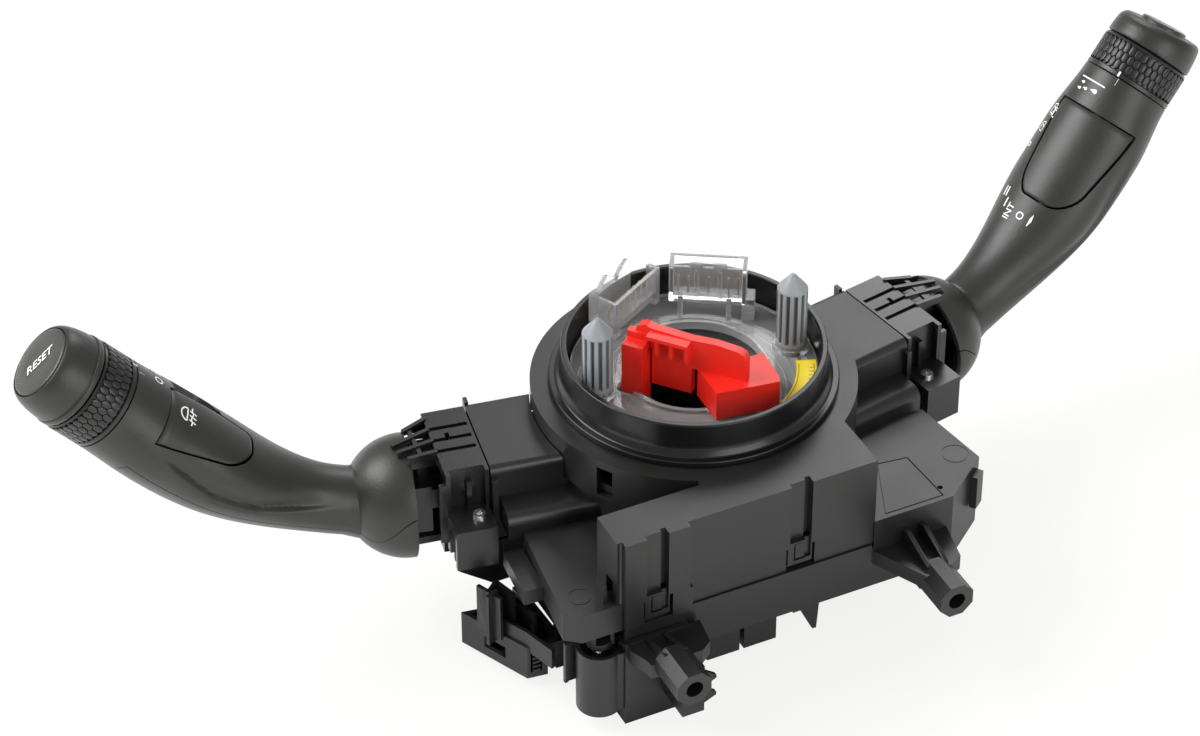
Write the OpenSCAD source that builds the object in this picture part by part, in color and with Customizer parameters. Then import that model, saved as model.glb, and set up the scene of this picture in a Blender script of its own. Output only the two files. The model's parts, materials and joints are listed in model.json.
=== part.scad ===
// Combination stalk switch for a steering column, with its clock spring rotor.
// Origin on the column axis at the foot of the column collar, +Z towards the steering wheel,
// +X towards the wiper stalk, +Y up in the car. All lengths in millimetres.

/* [Column and heights] */
// Radius of the passage for the steering column
passage_r = 20; // [17:0.5:21.5]
// Wall of the column collar
collar_wall = 2.6; // [2:0.1:3.5]
// Height of the base floor above the foot of the collar
floor_z = 24; // [20:0.5:28]
// Height of the base tray from its floor to the parting line
base_h = 17.5; // [15:0.5:20]
// Height of the carrier from the parting line to the deck
carrier_h = 12; // [10:0.5:15]
// Height of the front cover above the deck
cover_h = 27.5; // [25:0.5:31]
// Height of the ring wall above the front cover
rim_h = 15; // [11:0.5:19]
// Wall thickness of the housings
wall = 2.2; // [1.6:0.1:2.8]

/* [Outline of the housings] */
// Radius of the round turret of the front cover
turret_r = 58; // [56:0.5:62]
// Distance of the front face from the column axis
front_y = 70; // [67:0.5:75]
// Extra depth of the stepped left part of the front face
front_step = 2.6; // [1:0.1:4]
// Reach of the front cover to the left of the column axis
cover_left = 64.5; // [61:0.5:67]
// Reach of the front cover to the right of the column axis
cover_right = 35.5; // [32:0.5:40]
// Reach of the left deck
deck_left = 83; // [80:0.5:86]
// Reach of the right deck
deck_right = 86; // [83:0.5:90]

/* [Mounting bosses] */
// Distance of the mounting bosses from the middle plane
boss_x = 51; // [48:0.5:54]
// Distance of the boss faces from the column axis
boss_y = 102; // [96:0.5:108]
// Height of the boss holes above the foot of the collar
boss_z = 36; // [34:0.5:39]
// Radius of the boss holes
boss_hole_r = 3.2; // [2.4:0.1:3.4]
// Outer width of a boss
boss_w = 12.8; // [11:0.1:14]
// Length of a boss
boss_l = 17; // [12:0.5:22]

/* [Switch blocks] */
// Angle between a switch block's axis and the cross-car direction
block_angle = 10; // [6:0.5:13]
// Width of a switch block
block_w = 38.5; // [36:0.5:42]
// Shift of a block across its own axis
block_shift = -2.75; // [-4:0.25:-1]
// Distance of the block joint from the column axis
block_joint = 80; // [78:0.5:83]
// Length of the switch frame outside the joint
frame_l = 16; // [14:0.5:18]
// Height of the block tops below the front cover's top
block_drop = 7; // [5:0.5:10]
// Height of a switch frame
frame_h = 30; // [27:0.5:32]
// Running clearance between plug-in parts
fit_gap = 0.25; // [0.15:0.05:0.4]

/* [Levers] */
// Distance of a lever's pivot from the column axis
pivot_u = 105.7; // [104:0.1:108]
// Height of a lever's pivot above the foot of the collar
pivot_z = 50.7; // [49:0.1:53]
// Radius of the round shroud over a pivot
dome_r = 22.2; // [21.5:0.1:24]
// Wall of the lever shells
shell_wall = 2; // [1.5:0.1:2.4]
// Turn of the lever's plane away from the block's axis
lever_sweep = 4.4; // [2:0.2:7]
// Reach of the lever from its pivot to the knurled ring
lever_reach = 101.5; // [96:0.5:108]
// Rise of the lever from its pivot to the knurled ring
lever_rise = 62.5; // [58:0.5:68]
// Extra rise of the right lever, which the left one lacks
lever_lift = 4; // [0:0.5:6]
// Slope of the knob axis
knob_slope = 45.4; // [42:0.2:49]
// Half width of the lever at its neck
neck_r = 12.4; // [11.5:0.1:13.5]
// Half width of the lever at its widest
belly_w = 20.3; // [18.5:0.1:22]
// Half height of the lever at its widest
belly_h = 17.4; // [16.5:0.1:19]
// Radius of the knob
knob_r = 17.2; // [16.2:0.1:18.5]
// Length of the knurled ring
ring_l = 14.6; // [12:0.2:17]
// Length of the end cap
cap_l = 14.2; // [12:0.2:17]
// Radius of the push button in the left end cap
reset_r = 12.9; // [11:0.1:13.4]
// Travel of the push buttons in the end caps
end_travel = 1.5; // [1:0.1:2]

/* [Lever pivots] */
// Radius of the turning trunnions
trunnion_r = 3; // [2.5:0.1:3.5]
// Radius of the cross pins
cross_pin_r = 2; // [1.6:0.1:2.3]
// Radial running clearance of pins and trunnions
pin_gap = 0.05; // [0.02:0.01:0.1]
// Radius of a detent plunger
plunger_r = 2.4; // [2:0.1:2.8]
// Distance from the pivot to the detent plate
detent_r = 23.5; // [22.5:0.1:24.5]

/* [Clock spring] */
// Outer radius of the ring wall
rim_r = 47; // [46:0.25:48.5]
// Wall of the ring
rim_wall = 2.2; // [1.6:0.1:2.6]
// Depth of the rotor's floor below the rim
rotor_depth = 13.5; // [11:0.5:14.5]
// Clearance between the rotor's disc and the ring
rotor_gap = 1; // [0.6:0.1:2]
// Inner radius of the rotor's disc
rotor_hole_r = 25; // [24:0.25:27]
// Thickness of the rotor's disc
rotor_t = 2.4; // [2:0.1:3]
// Wall of the rotor's sleeve
sleeve_wall = 2.2; // [1.6:0.1:2.4]
// Height of the flat cable
cable_h = 6; // [4:0.5:7]
// Number of turns of the flat cable
cable_turns = 5; // [3:1:7]
// Thickness of the flat cable as modelled
cable_t = 0.5; // [0.3:0.1:0.6]

/* [Rotor fittings] */
// Distance of the drive pins' axes from the disc's edge
pin_inset = 7.2; // [6.6:0.1:8.5]
// Radius of a drive pin
drive_pin_r = 5.45; // [5:0.05:5.7]
// Height of a drive pin with its tip
drive_pin_h = 30; // [26:0.5:33]
// Number of flutes of a drive pin
flutes = 12; // [8:1:16]
// Length of a wheel connector socket
socket_l = 27.6; // [25:0.2:29]
// Depth of the rear wheel connector socket
socket_d = 8.5; // [7:0.25:9.5]
// Height of the rear wheel connector socket
socket_h = 15.5; // [13:0.5:18]
// Number of terminals in a socket
terminals = 7; // [4:1:8]

/* [Angle sensor] */
// Number of teeth of the sensor's drive gear
gear_teeth = 66; // [66:1:66]
// Number of teeth of the first sensor pinion
pinion_a_teeth = 26; // [26:1:26]
// Number of teeth of the second sensor pinion
pinion_b_teeth = 28; // [28:1:28]
// Module of the sensor gears
gear_module = 0.8; // [0.76:0.01:0.84]
// Face width of the sensor gears
gear_w = 3; // [2:0.25:3.5]

/* [Hidden] */
$fn = 64;
eps = 0.01;
black_abs = "#26282a";
dark_abs = "#2e3032";

part_z = floor_z + base_h;
deck_z = part_z + carrier_h;
cover_z = deck_z + cover_h;
rim_z = cover_z + rim_h;
block_z = cover_z - block_drop;

// unit vector square to a to b, on the left of the way from a to b
function left_of(a, b) = let (d = b - a) [-d[1], d[0]] / norm(d);
// outline p, run anticlockwise, moved inwards by d
function inset(p, d) = let (n = len(p)) [for (i = [0:n - 1])
    let (n1 = left_of(p[(i + n - 1) % n], p[i]), n2 = left_of(p[i], p[(i + 1) % n]))
    p[i] + d * (n1 + n2) / (1 + n1 * n2)];
function clamp01(x) = min(1, max(0, x));
function ease(x) = let (c = clamp01(x)) c * c * (3 - 2 * c);

module tube(r_out, r_in, h) {
    difference() {
        cylinder(r = r_out, h = h);
        translate([0, 0, -1]) cylinder(r = r_in, h = h + 2);
    }
}
module prism(outline, z0, z1) {
    translate([0, 0, z0]) linear_extrude(height = z1 - z0) polygon(outline);
}
// left is -1, right is +1
module sided(side) {
    mirror([side < 0 ? 1 : 0, 0, 0]) children();
}
// x runs outwards along the block, y across it
module block_frame(side) {
    sided(side) rotate([0, 0, block_angle]) children();
}
module bar(u0, u1, v0, v1, z0, z1) {
    translate([u0, v0, z0]) cube([u1 - u0, v1 - v0, z1 - z0]);
}

block_v0 = block_shift - block_w / 2;
block_v1 = block_shift + block_w / 2;
front_wall = -front_y;
carrier_face = front_wall + 0.8;
clip_face = front_wall + wall + fit_gap;
collar_r = passage_r + collar_wall;
collar_top = deck_z + 2;
turret_wall_r = turret_r - wall - fit_gap;
skirt_z = deck_z + 11;
case_floor_z = deck_z + 12.5;
ledge_r = turret_wall_r - wall - 2;

// Outline of the decks and of the tray below them
deck_outline = [
    [-deck_left + 5.5, carrier_face - 0.8], [deck_right - 19, carrier_face - 0.8], [deck_right, carrier_face + 14],
    [deck_right - 5, -23], [cover_right, -16], [-cover_left + 14, -16], [-deck_left + 6, -21.6], [-deck_left, carrier_face + 3.5],
];
// Front box at the left, [left, right, front, back]
left_box = [-62.6, -38, front_wall - front_step, -48];
// Outline of the base tray, which stands back from the deck on the left
base_left = deck_left - 9;
base_outline = [
    [-base_left, front_wall + 14], [left_box[0] + 1, front_wall + 14], [left_box[0] + 1, front_wall],
    [deck_right - 19, front_wall], [deck_right, carrier_face + 14], [deck_right - 5, -23], [cover_right, -16],
    [-cover_left + 14, -16], [-base_left, -22.6],
];
sleeve_u0 = turret_r - 14;
sleeve_z0 = part_z;
ledge_h = 7;
ledge_v = 12;

module base_housing() {
    color(black_abs) difference() {
        union() {
            difference() {
                union() {
                    prism(base_outline, floor_z, part_z);
                    translate([0, 0, floor_z]) cylinder(r = turret_wall_r, h = base_h);
                    for (side = [-1, 1]) block_frame(side)
                        bar(sleeve_u0, block_joint - 4, block_v0 + 0.4, block_v1 - 0.4, floor_z + 6, part_z - 0.3);
                }
                prism(inset(base_outline, wall), floor_z + wall, part_z + 1);
                translate([0, 0, floor_z + wall]) cylinder(r = turret_wall_r - wall, h = base_h);
                for (side = [-1, 1]) block_frame(side)
                    bar(sleeve_u0 - 1, block_joint - 4 - wall, block_v0 + wall + 0.4, block_v1 - wall - 0.4, floor_z + 6 + wall,
                        part_z + 1);
            }
            cylinder(r = collar_r, h = collar_top);
            collar_ribs();
            left_front_box();
            bar(left_box[1] + 2, cover_right - 0.6, front_wall, front_wall + wall, floor_z, part_z + lip_h);
            boss_bracket(-1);
            boss_bracket(1);
            boss_foot();
            floor_barb();
            under_ribs();
            // strip that hangs beside the side frame
            bar(-base_left, -base_left + 1.4, front_wall + 22, front_wall + 23.4, frame_foot, floor_z + 1);
        }
        translate([0, 0, -1]) cylinder(r = passage_r, h = collar_top + 2);
        for (side = [-1, 1]) sided(side) boss_hole();
        connector_cuts();
        post_screw_hole();
    }
}
// Ribs that stiffen the collar on the base floor
module collar_ribs() {
    for (a = [45:90:315]) rotate([0, 0, a]) translate([collar_r - 1, -wall / 2, floor_z - 12])
        rotate([90, 0, 0]) translate([0, 0, -wall])
            linear_extrude(height = wall) polygon([[0, 0], [0, 12 + eps], [12, 12 + eps]]);
}
// Upright ribs under the left switch block
module under_ribs() {
    foot = floor_z - 3;
    block_frame(-1) {
        for (v = [block_v0 + 1, block_v0 + 7]) translate([0, v, 0]) rotate([90, 0, 0]) translate([0, 0, -1.6])
            linear_extrude(height = 1.6) polygon([[block_joint - 12, floor_z + 7], [block_joint - 12, foot + 2],
                [block_joint, foot], [block_joint + 12, foot + 8], [block_joint + 12, part_z - 1.2], [block_joint - 8, part_z - 1.2]]);
        bar(block_joint - 2, block_joint - 0.4, block_v0 + 1.4, block_v0 + 8.2, foot + 2, part_z - 1.6);
    }
}
// Height by which the base's front lip laps over the carrier
lip_h = 1.4;
left_box_top = floor_z + 12.6;
post_x = -68.8;
post_y = -64.6;
post_r = 8.1;
post_foot = 6.4;
post_top = floor_z + 9;
module left_front_box() {
    difference() {
        union() {
            bar(left_box[0], left_box[1], left_box[2], left_box[3], 0, left_box_top);
            translate([post_x, post_y, post_foot]) cylinder(r = post_r, h = post_top - post_foot);
            bar(post_x, left_box[0] + 1, post_y - post_r + 0.9, post_y + post_r - 0.9, post_foot + 0.5, post_top - 0.4);
            // fin between the tower and the side frame
            bar(post_x - 10.6, post_x - 5, post_y + 4.6, post_y + 6.2, post_foot + 9.8, post_top);
        }
        bar(left_box[0] + wall, left_box[1] - wall, left_box[2] + wall, left_box[3] - wall, wall, part_z);
        // the tower is hollow down to the seat of its screw
        translate([post_x, post_y, post_top - 5]) cylinder(r = post_r - 1.6, h = 10);
    }
}
module post_screw_hole() {
    translate([post_x, post_y, post_top - 12]) cylinder(r = 1.25, h = 20);
}
// Mounting boss on its gusset: a wing with a skirt, two ribs and the drilled boss; the left wing lies lower
module boss_bracket(side) {
    top = side < 0 ? left_box_top - 0.2 : part_z - 1;
    root = side < 0 ? left_box[2] + 1 : front_wall + 1;
    top_root = side < 0 ? left_box[2] - 0.1 : front_wall - 0.2;
    rise = side < 0 ? 0.4 : 5.6;
    neck = boss_l - boss_y - 2;
    far = side < 0 ? boss_x + 11 : boss_x + 14;
    wing = side < 0
        ? [[boss_x - 17.4, root], [boss_x - 15.6, neck + 4], [boss_x - 11.4, neck + 1], [boss_x + 2, neck + 1],
            [boss_x + 8, neck + 1.6], [boss_x + 8.6, neck + 5], [far, neck + 11], [far, root]]
        : [[boss_x - 16.5, root], [boss_x - 5.7, neck - 3.6], [boss_x + 5.2, neck - 1.6], [boss_x + 10.4, neck + 1], [far, root]];
    sided(side) {
        difference() {
            prism(wing, top - 6, top);
            prism(inset(wing, 1.8), top - 7, top - 2);
        }
        for (dx = [-3.4, 3.4]) translate([boss_x + dx - 0.9, 0, 0]) rotate([90, 0, 90]) linear_extrude(height = 1.8)
            polygon([[root, top - 5], [root, top - 0.2], [top_root, top - 0.2], [top_root, top + rise],
                [root - 4, top + rise + 0.6], [neck - 1, boss_z + boss_w / 2 - 0.4], [neck + 3, boss_z - 3]]);
        translate([boss_x, -boss_y + boss_l, boss_z]) rotate([90, 22.5, 0])
            cylinder(r = boss_w / 2 / cos(22.5), h = boss_l, $fn = 8);
        bar(boss_x - boss_w / 2 + 0.3, boss_x + boss_w / 2 - 0.3, neck, root, boss_z - 4, top - 1);
    }
}
module boss_hole() {
    translate([boss_x, 4 - boss_y + boss_l, boss_z]) rotate([90, 0, 0]) cylinder(r = boss_hole_r, h = boss_l + 6);
}
// Foot and barbs beside the left boss
module boss_foot() {
    foot_x1 = left_box[1] - 1.6;
    bar(foot_x1 - 8.4, foot_x1, front_wall - 17.5, left_box[2] + 1, 9.6, floor_z + 6);
    for (z = [12.6, 20.4]) translate([foot_x1 - 1, front_wall - 15.9, z]) rotate([90, 0, 0]) linear_extrude(height = 1.6)
        polygon([[0, 0], [5.6, 2.6], [5.6, 3.8], [0, 8]]);
}
module floor_barb() {
    translate([12, front_wall + 5, floor_z]) rotate([90, 0, 0]) linear_extrude(height = 1.8)
        polygon([[-9, eps], [-6, -4], [-3, -4], [2, -14.5], [3.5, -14.5], [4.5, eps]]);
}
conn_a = [-27, -14];
conn_b = [-12.5, 0.5];
conn_y = [front_wall + 5, front_wall + 19];
conn_foot = 9;
module connector_cuts() {
    for (c = [conn_a, conn_b])
        bar(c[0] - fit_gap, c[1] + fit_gap, conn_y[0] - fit_gap, conn_y[1] + fit_gap, floor_z - 1, floor_z + 6);
}

module carrier_housing() {
    color(black_abs) {
        difference() {
            union() {
                prism(deck_outline, part_z, deck_z);
                translate([0, 0, part_z]) cylinder(r = turret_wall_r, h = skirt_z + 5 - part_z);
                for (side = [-1, 1]) difference() {
                    block_frame(side) sleeve_body();
                    translate([0, 0, skirt_z - fit_gap]) cylinder(r = turret_r + fit_gap, h = cover_z);
                }
                side_ledge();
            }
            prism(inset(deck_outline, wall), part_z - 1, deck_z - wall);
            translate([0, 0, part_z - 1]) cylinder(r = turret_wall_r - wall, h = deck_z - wall - part_z + 1);
            translate([0, 0, deck_z]) cylinder(r = ledge_r, h = 40);
            translate([0, 0, part_z - 1]) cylinder(r = collar_r + 0.4, h = 30);
            translate([0, 0, case_floor_z]) cylinder(r = turret_wall_r - wall - 0.3, h = 40);
            for (side = [-1, 1]) block_frame(side) {
                bar(turret_r + 1, block_joint + 1, block_v0 + wall, block_v1 - wall, sleeve_z0 + wall + 1, block_z - wall);
                bar(turret_r + 1, block_joint - 3 - wall, block_v0 - ledge_v + wall, block_v0 - 1, deck_z - 4,
                    deck_z + ledge_h - wall);
            }
            front_opening();
            for (x = clip_x) clip_seat(x);
            deck_lines();
            difference() {
                cover_plan(deck_z - 0.02, cover_z, -fit_gap);
                for (side = [-1, 1]) block_frame(side)
                    bar(turret_r - 6, block_joint, block_v0 - ledge_v - 1, block_v1, part_z, cover_z + 1);
            }
            for (p = [pinion_a_pos, pinion_b_pos]) translate([p[0], p[1], gear_z - 0.8])
                cylinder(r = gear_module * (pinion_b_teeth / 2 + 0.9) + 0.6, h = gear_w + 1.6);
        }
        sensor_spindles();
        for (x = clip_x) clip_lug(x);
        deck_latch();
        post_lug();
        deck_tab();
    }
}
// Section of a switch block's sleeve across its axis, with rounded upper edges
round_steps = 4;
function corner(c, r, a0, a1) = [for (i = [0:round_steps]) let (a = a0 + (a1 - a0) * i / round_steps) c + r * [cos(a), sin(a)]];
module sleeve_body() {
    r = 2.8;
    ledge_r1 = 4;
    ledge_top_z = deck_z + ledge_h;
    along_block(sleeve_u0, block_joint) polygon(concat([[block_v0, sleeve_z0 + 1], [block_v1, sleeve_z0 + 1]],
        corner([block_v1 - r, block_z - r], r, 0, 90), corner([block_v0 + r, block_z - r], r, 90, 180)));
    along_block(sleeve_u0, block_joint - 3) polygon(concat([[block_v0 - ledge_v, deck_z - 3], [block_v0 + 1, deck_z - 3],
        [block_v0 + 1, ledge_top_z + 0.6]], corner([block_v0 - ledge_v + ledge_r1, ledge_top_z - ledge_r1], ledge_r1, 90, 180)));
    // flared lip of the sleeve's mouth, and the fin at its rear corner
    bar(block_joint - 1.8, block_joint, block_v0 - 2.6, block_v0 + 1, deck_z - 2, block_z - 4);
    bar(block_joint - 1.6, block_joint - 0.2, block_v1 - 1, block_v1 + 2, block_z - 14, block_z + 0.6);
}
module along_block(u0, u1) {
    translate([u0, 0, 0]) rotate([90, 0, 90]) linear_extrude(height = u1 - u0) children();
}
// Narrow shelf along the left deck, below its top
module side_ledge() {
    x1 = -deck_left + 5;
    prism([[x1, -22.4], [x1 - 7, -22], [x1 - 9.4, -44], [x1 - 2, -44.4]], part_z + 0.3, deck_z - 5.5);
}
// The carrier's front band stands back, and is open over the loom connectors
module front_opening() {
    bar(-cover_left + 2, cover_right, front_wall - 20, carrier_face, part_z - 1, deck_z + 1);
    bar(conn_a[0] - 1, conn_b[1] + 1, conn_y[0] - 1, conn_y[1] + 1, part_z - 1, deck_z + 1);
    bar(left_box[1], cover_right, front_wall - 5, front_wall + wall + fit_gap, part_z - 1, part_z + lip_h + 0.1);
    bar(left_box[0], left_box[1] + 1, front_wall - 5, front_wall + 0.9, part_z - 1, part_z + 1.2);
}
clip_x = [-50.4, 6.1];
clip_w = 9.4;
clip_drop = 7.9;
clip_depth = 2.05;
module clip_seat(x) {
    if (x > left_box[1])
        bar(x - clip_w / 2 - 0.3, x + clip_w / 2 + 1.4, front_wall - 5, clip_face, part_z - 1, deck_z + 1);
}
module clip_lug(x) {
    depth = x < left_box[1] ? front_step : 0;
    bar(x - 1.7, x + 1.7, front_wall + 0.5 - depth, clip_face + 1, deck_z - 5.6, deck_z + 0.7);
    bar(x - clip_w / 2 - 1.3, x + clip_w / 2 + 2.4, clip_face, clip_face + 2, part_z + lip_h + 0.2, deck_z - 0.5);
    // front wall of the stepped part, beside the clip
    if (depth > 0) for (b = [[-cover_left + 2.2, x - clip_w / 2 - 0.5], [x + clip_w / 2 + 1.2, left_box[1] + 1.2]])
        bar(b[0], b[1], front_wall - front_step, front_wall + 1.4, part_z + 1.3, deck_z - 0.02);
}
// Hook that holds the cover's left side wall
module deck_latch() {
    bar(-cover_left - 3.8, -cover_left - 2.4, front_wall + 3.2, front_wall + 9, deck_z - 1, deck_z + 7);
}
// Lug of the carrier that the screw pulls down into the tower
module post_lug() {
    lug_z = part_z - 7.4;
    difference() {
        union() {
            translate([post_x, post_y, lug_z]) cylinder(r = 4.6, h = 2.4);
            for (dx = [-4.2, 2.8]) bar(post_x + dx, post_x + dx + 1.4, front_wall + 2, post_y + 1, lug_z + 0.4, deck_z - 1);
            bar(post_x - 4.2, post_x + 4.2, post_y + 3, post_y + 4.4, lug_z + 0.4, deck_z - 1);
        }
        translate([post_x, post_y, lug_z - 1]) cylinder(r = 1.5, h = 5);
        translate([post_x, post_y, lug_z + 2.4]) cylinder(r = 2.9, h = 3);
    }
}
// Thin lines pressed into the decks: an inset panel with its hole, and the round marks of the ejectors
module deck_lines() {
    panel = [[cover_right + 4.8, front_wall + 1.8], [cover_right + 28.7, front_wall + 1.8], [cover_right + 27.5, front_wall + 25.9],
        [cover_right + 15.7, front_wall + 27.5]];
    difference() {
        prism(panel, deck_z - 0.4, deck_z + 1);
        prism(inset(panel, 0.5), deck_z - 1, deck_z + 2);
    }
    translate([cover_right + 29.6, front_wall + 6.2, deck_z - wall - 1]) cylinder(r = 1, h = 5);
    translate([deck_right - 7, front_wall + 20, deck_z - 0.15]) tube(5, 4.5, 1);
    translate([-deck_left + 9, front_wall + 9.5, deck_z - 0.15]) tube(4.2, 3.7, 1);
}
// Upright tab on the right deck's bevelled end
module deck_tab() {
    translate([deck_right - 4.4, carrier_face + 10.6, 0]) rotate([0, 0, 37]) {
        bar(-2.6, 2.6, -3, 0.2, part_z + 0.3, deck_z - 3);
        bar(-2.6, 2.6, -3, -0.4, part_z - 5, part_z + 1);
    }
}
pinion_a_pos = gear_module * (gear_teeth + pinion_a_teeth) / 2 * [cos(-58), sin(-58)];
pinion_b_pos = gear_module * (gear_teeth + pinion_b_teeth) / 2 * [cos(-122), sin(-122)];
spindle_r = 1.5;
gear_z = deck_z + 7;
module sensor_spindles() {
    for (p = [pinion_a_pos, pinion_b_pos]) translate([p[0], p[1], deck_z - 0.5]) {
        cylinder(r = spindle_r, h = gear_z + gear_w - deck_z + 0.9);
        cylinder(r = spindle_r + 1.2, h = gear_z - 0.5 - deck_z);
    }
}

module cover_plan(z0, z1, d) {
    bar(-cover_left + d, cover_right - d, front_wall + d, -54.5 - d, z0, z1);
    bar(-cover_left + 1.9 + d, left_box[1] - d, front_wall - front_step + d, front_wall + 8, z0, z1);
    bar(-25 + d, cover_right - d, front_wall + 8, -40, z0, z1);
}
module front_cover() {
    color(black_abs) {
        difference() {
            union() {
                translate([0, 0, skirt_z]) cylinder(r = turret_r, h = cover_z - skirt_z);
                cover_plan(deck_z, cover_z, 0);
            }
            translate([0, 0, skirt_z - 1]) cylinder(r = turret_r - wall, h = cover_z - wall - skirt_z + 1);
            difference() {
                cover_plan(deck_z - 1, cover_z - wall, wall);
                for (x = clip_x) clip_backing(x);
            }
            translate([0, 0, skirt_z - 1]) cylinder(r = case_hole_r, h = 40);
            translate([-cover_left + 0.9, front_wall - 0.9, deck_z - 1]) cylinder(r = 1.15, h = 40);
            for (x = clip_x) clip_groove(x);
            for (x = clip_x) bar(x - 2.3, x + 2.01, clip_front(x) - 1, clip_front(x) + wall + 3, deck_z - 1, deck_z + 1.4);
            translate([0, 0, deck_z - 1]) cylinder(r = ledge_r - 0.3, h = skirt_z - deck_z + 1.5);
            latch_window();
            for (a = snap_angles) rotate([0, 0, a]) snap_window();
            for (side = [-1, 1]) block_frame(side)
                bar(turret_r - 4, turret_r + 5, block_v0 - ledge_v - 0.3, block_v1 + 0.3, skirt_z - 1, block_z + 0.3);
        }
        for (x = clip_x) clip_tab(x);
    }
}
snap_angles = [-15.5, -149, 100, 40, 145];
case_hole_r = rim_r + fit_gap;
module snap_window() {
    translate([turret_r - 6, -3.2, skirt_z + 1.5]) cube([12, 6.4, cover_z - skirt_z - 4.5]);
}
// Opening in the cover's left side wall over the carrier's hook
module latch_window() {
    bar(-cover_left - 1, -cover_left + wall + 1, front_wall + 3.6, front_wall + 8.6, deck_z - 1, deck_z + 8);
}
function clip_front(x) = x < left_box[1] ? front_wall - front_step : front_wall;
module clip_groove(x) {
    front = clip_front(x);
    bar(x - 4.1, x + 2.02, front - 1, front + clip_depth, deck_z + 2.2, cover_z + 1);
    bar(x + 2, x + 4.2, front - 1, front + clip_depth + 1.3, deck_z - 6, cover_z + 1);
}
// Thicker wall behind a clip's groove
module clip_backing(x) {
    bar(x - 5.4, x + 5.4, clip_front(x) - 1, clip_front(x) + wall + 2.6, deck_z + 2.6, cover_z);
}
module clip_tab(x) {
    front = clip_front(x);
    difference() {
        bar(x - clip_w / 2, x + clip_w / 2, front + 0.3, front + wall, deck_z - clip_drop, deck_z + 2.1);
        bar(x - 2.3, x + 2.01, front - 5, front + wall + 1, deck_z - clip_drop + 1.6, deck_z + 3);
        bar(x + 2, x + 4.2, front - 5, front + 1.4, deck_z - 6, deck_z + 3);
    }
}

module clock_spring_case() {
    color(dark_abs) difference() {
        union() {
            translate([0, 0, case_floor_z + wall]) cylinder(r = rim_r, h = rim_z - case_floor_z - wall);
            translate([0, 0, cover_z]) cylinder(r = rim_r + 4.4, h = 2.4);
            translate([0, 0, cover_z]) cylinder(r1 = rim_r + 3.2, r2 = rim_r, h = 6);
        }
        translate([0, 0, case_floor_z]) cylinder(r = rim_r - rim_wall, h = cover_z);
    }
}
module case_floor() {
    color(black_abs) translate([0, 0, case_floor_z])
        tube(turret_wall_r - wall - 0.3 - fit_gap, sleeve_r + 0.4, wall);
}
sleeve_r = passage_r + 0.8 + sleeve_wall;

// Lever frame: origin at the pivot, x along the lever's plane, z up; the driver's face of a lever is +z
module lever_frame(side) {
    block_frame(side) translate([pivot_u, 0, pivot_z]) rotate([0, 0, lever_sweep]) children();
}
// Knob frame: z runs out along the knob axis from the collar's end
module knob_frame(side) {
    lever_frame(side) translate([lever_reach, 0, lever_rise + side * lever_lift])
        rotate([0, 90 - knob_slope, 0]) children();
}
curve_1 = [0.42 * lever_reach, -0.075 * lever_rise];
curve_3 = [lever_reach, lever_rise];
curve_2 = curve_3 - 0.2842 * lever_reach * [cos(knob_slope), sin(knob_slope)];
function curve(side, t) = 3 * pow(1 - t, 2) * t * curve_1 + 3 * (1 - t) * t * t * curve_2 + pow(t, 3) * curve_3
    + [0, side * lever_lift * ease(t)];
function curve_step(side, t) = (curve(side, t + 0.001) - curve(side, t - 0.001)) * 500;
function half_w(t) = neck_r + (belly_w - neck_r) * ease((t - 0.2) / 0.42) - (belly_w - knob_r) * ease((t - 0.76) / 0.24);
function half_h(t) = neck_r - 0.3 + (belly_h - neck_r + 0.3) * ease((t - 0.22) / 0.5) - (belly_h - knob_r) * ease((t - 0.8) / 0.2);
// A station is [x, z, tilt, half width, half height, seam angle]
function stalk_station(side, t) = let (c = curve(side, t), d = curve_step(side, t))
    [c[0], c[1], atan2(d[1], d[0]), half_w(t), half_h(t), 110 + 6 * t];
dome_open = 93;
dome_end = 36;
dome_steps = 8;
function dome_station(i) = let (s = i / dome_steps, a = dome_open + (dome_end - dome_open) * s)
    [dome_r * cos(a), 0, 0, dome_r * sin(a), dome_r * sin(a), 75 + 35 * ease(s * 1.2)];
stalk_steps = 13;
collar_t = 0.86;
neck_t = 0.175;
function shell_stations(side) = concat([for (i = [0:dome_steps]) dome_station(i)],
    [for (i = [0:stalk_steps]) stalk_station(side, neck_t + (collar_t - neck_t) * i / stalk_steps)]);
// the front shell closes round the lever beyond the collar's edge
function closed_station(side, t) = let (s = stalk_station(side, t)) [s[0], s[1], s[2], s[3], s[4], 180];
function collar_stations(side) = [for (i = [0:3]) closed_station(side, collar_t + 0.002 + (0.998 - collar_t) * i / 3)];
function ring_point(s, depth, a) = let (up = (s[4] - depth) * cos(a))
    [s[0] - up * sin(s[2]), -(s[3] - depth) * sin(a), s[1] + up * cos(s[2])];
// strip of a ring between two angles, m steps
function strip(s, depth, a0, a1, m) = [for (j = [0:m]) ring_point(s, depth, a0 + (a1 - a0) * j / m)];
// solid between rows of closed loops of the same count, with the end loops given as faces
module loft(loops, ends) {
    n = len(loops);
    per = len(loops[0]);
    sides = [for (i = [0:n - 2]) for (j = [0:per - 1])
        [i * per + j, (i + 1) * per + j, (i + 1) * per + (j + 1) % per, i * per + (j + 1) % per]];
    near = [for (f = ends) f];
    far = [for (f = ends) [for (k = [len(f) - 1:-1:0]) (n - 1) * per + f[k]]];
    polyhedron(points = [for (l = loops) each l], faces = concat(sides, near, far), convexity = 8);
}
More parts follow.
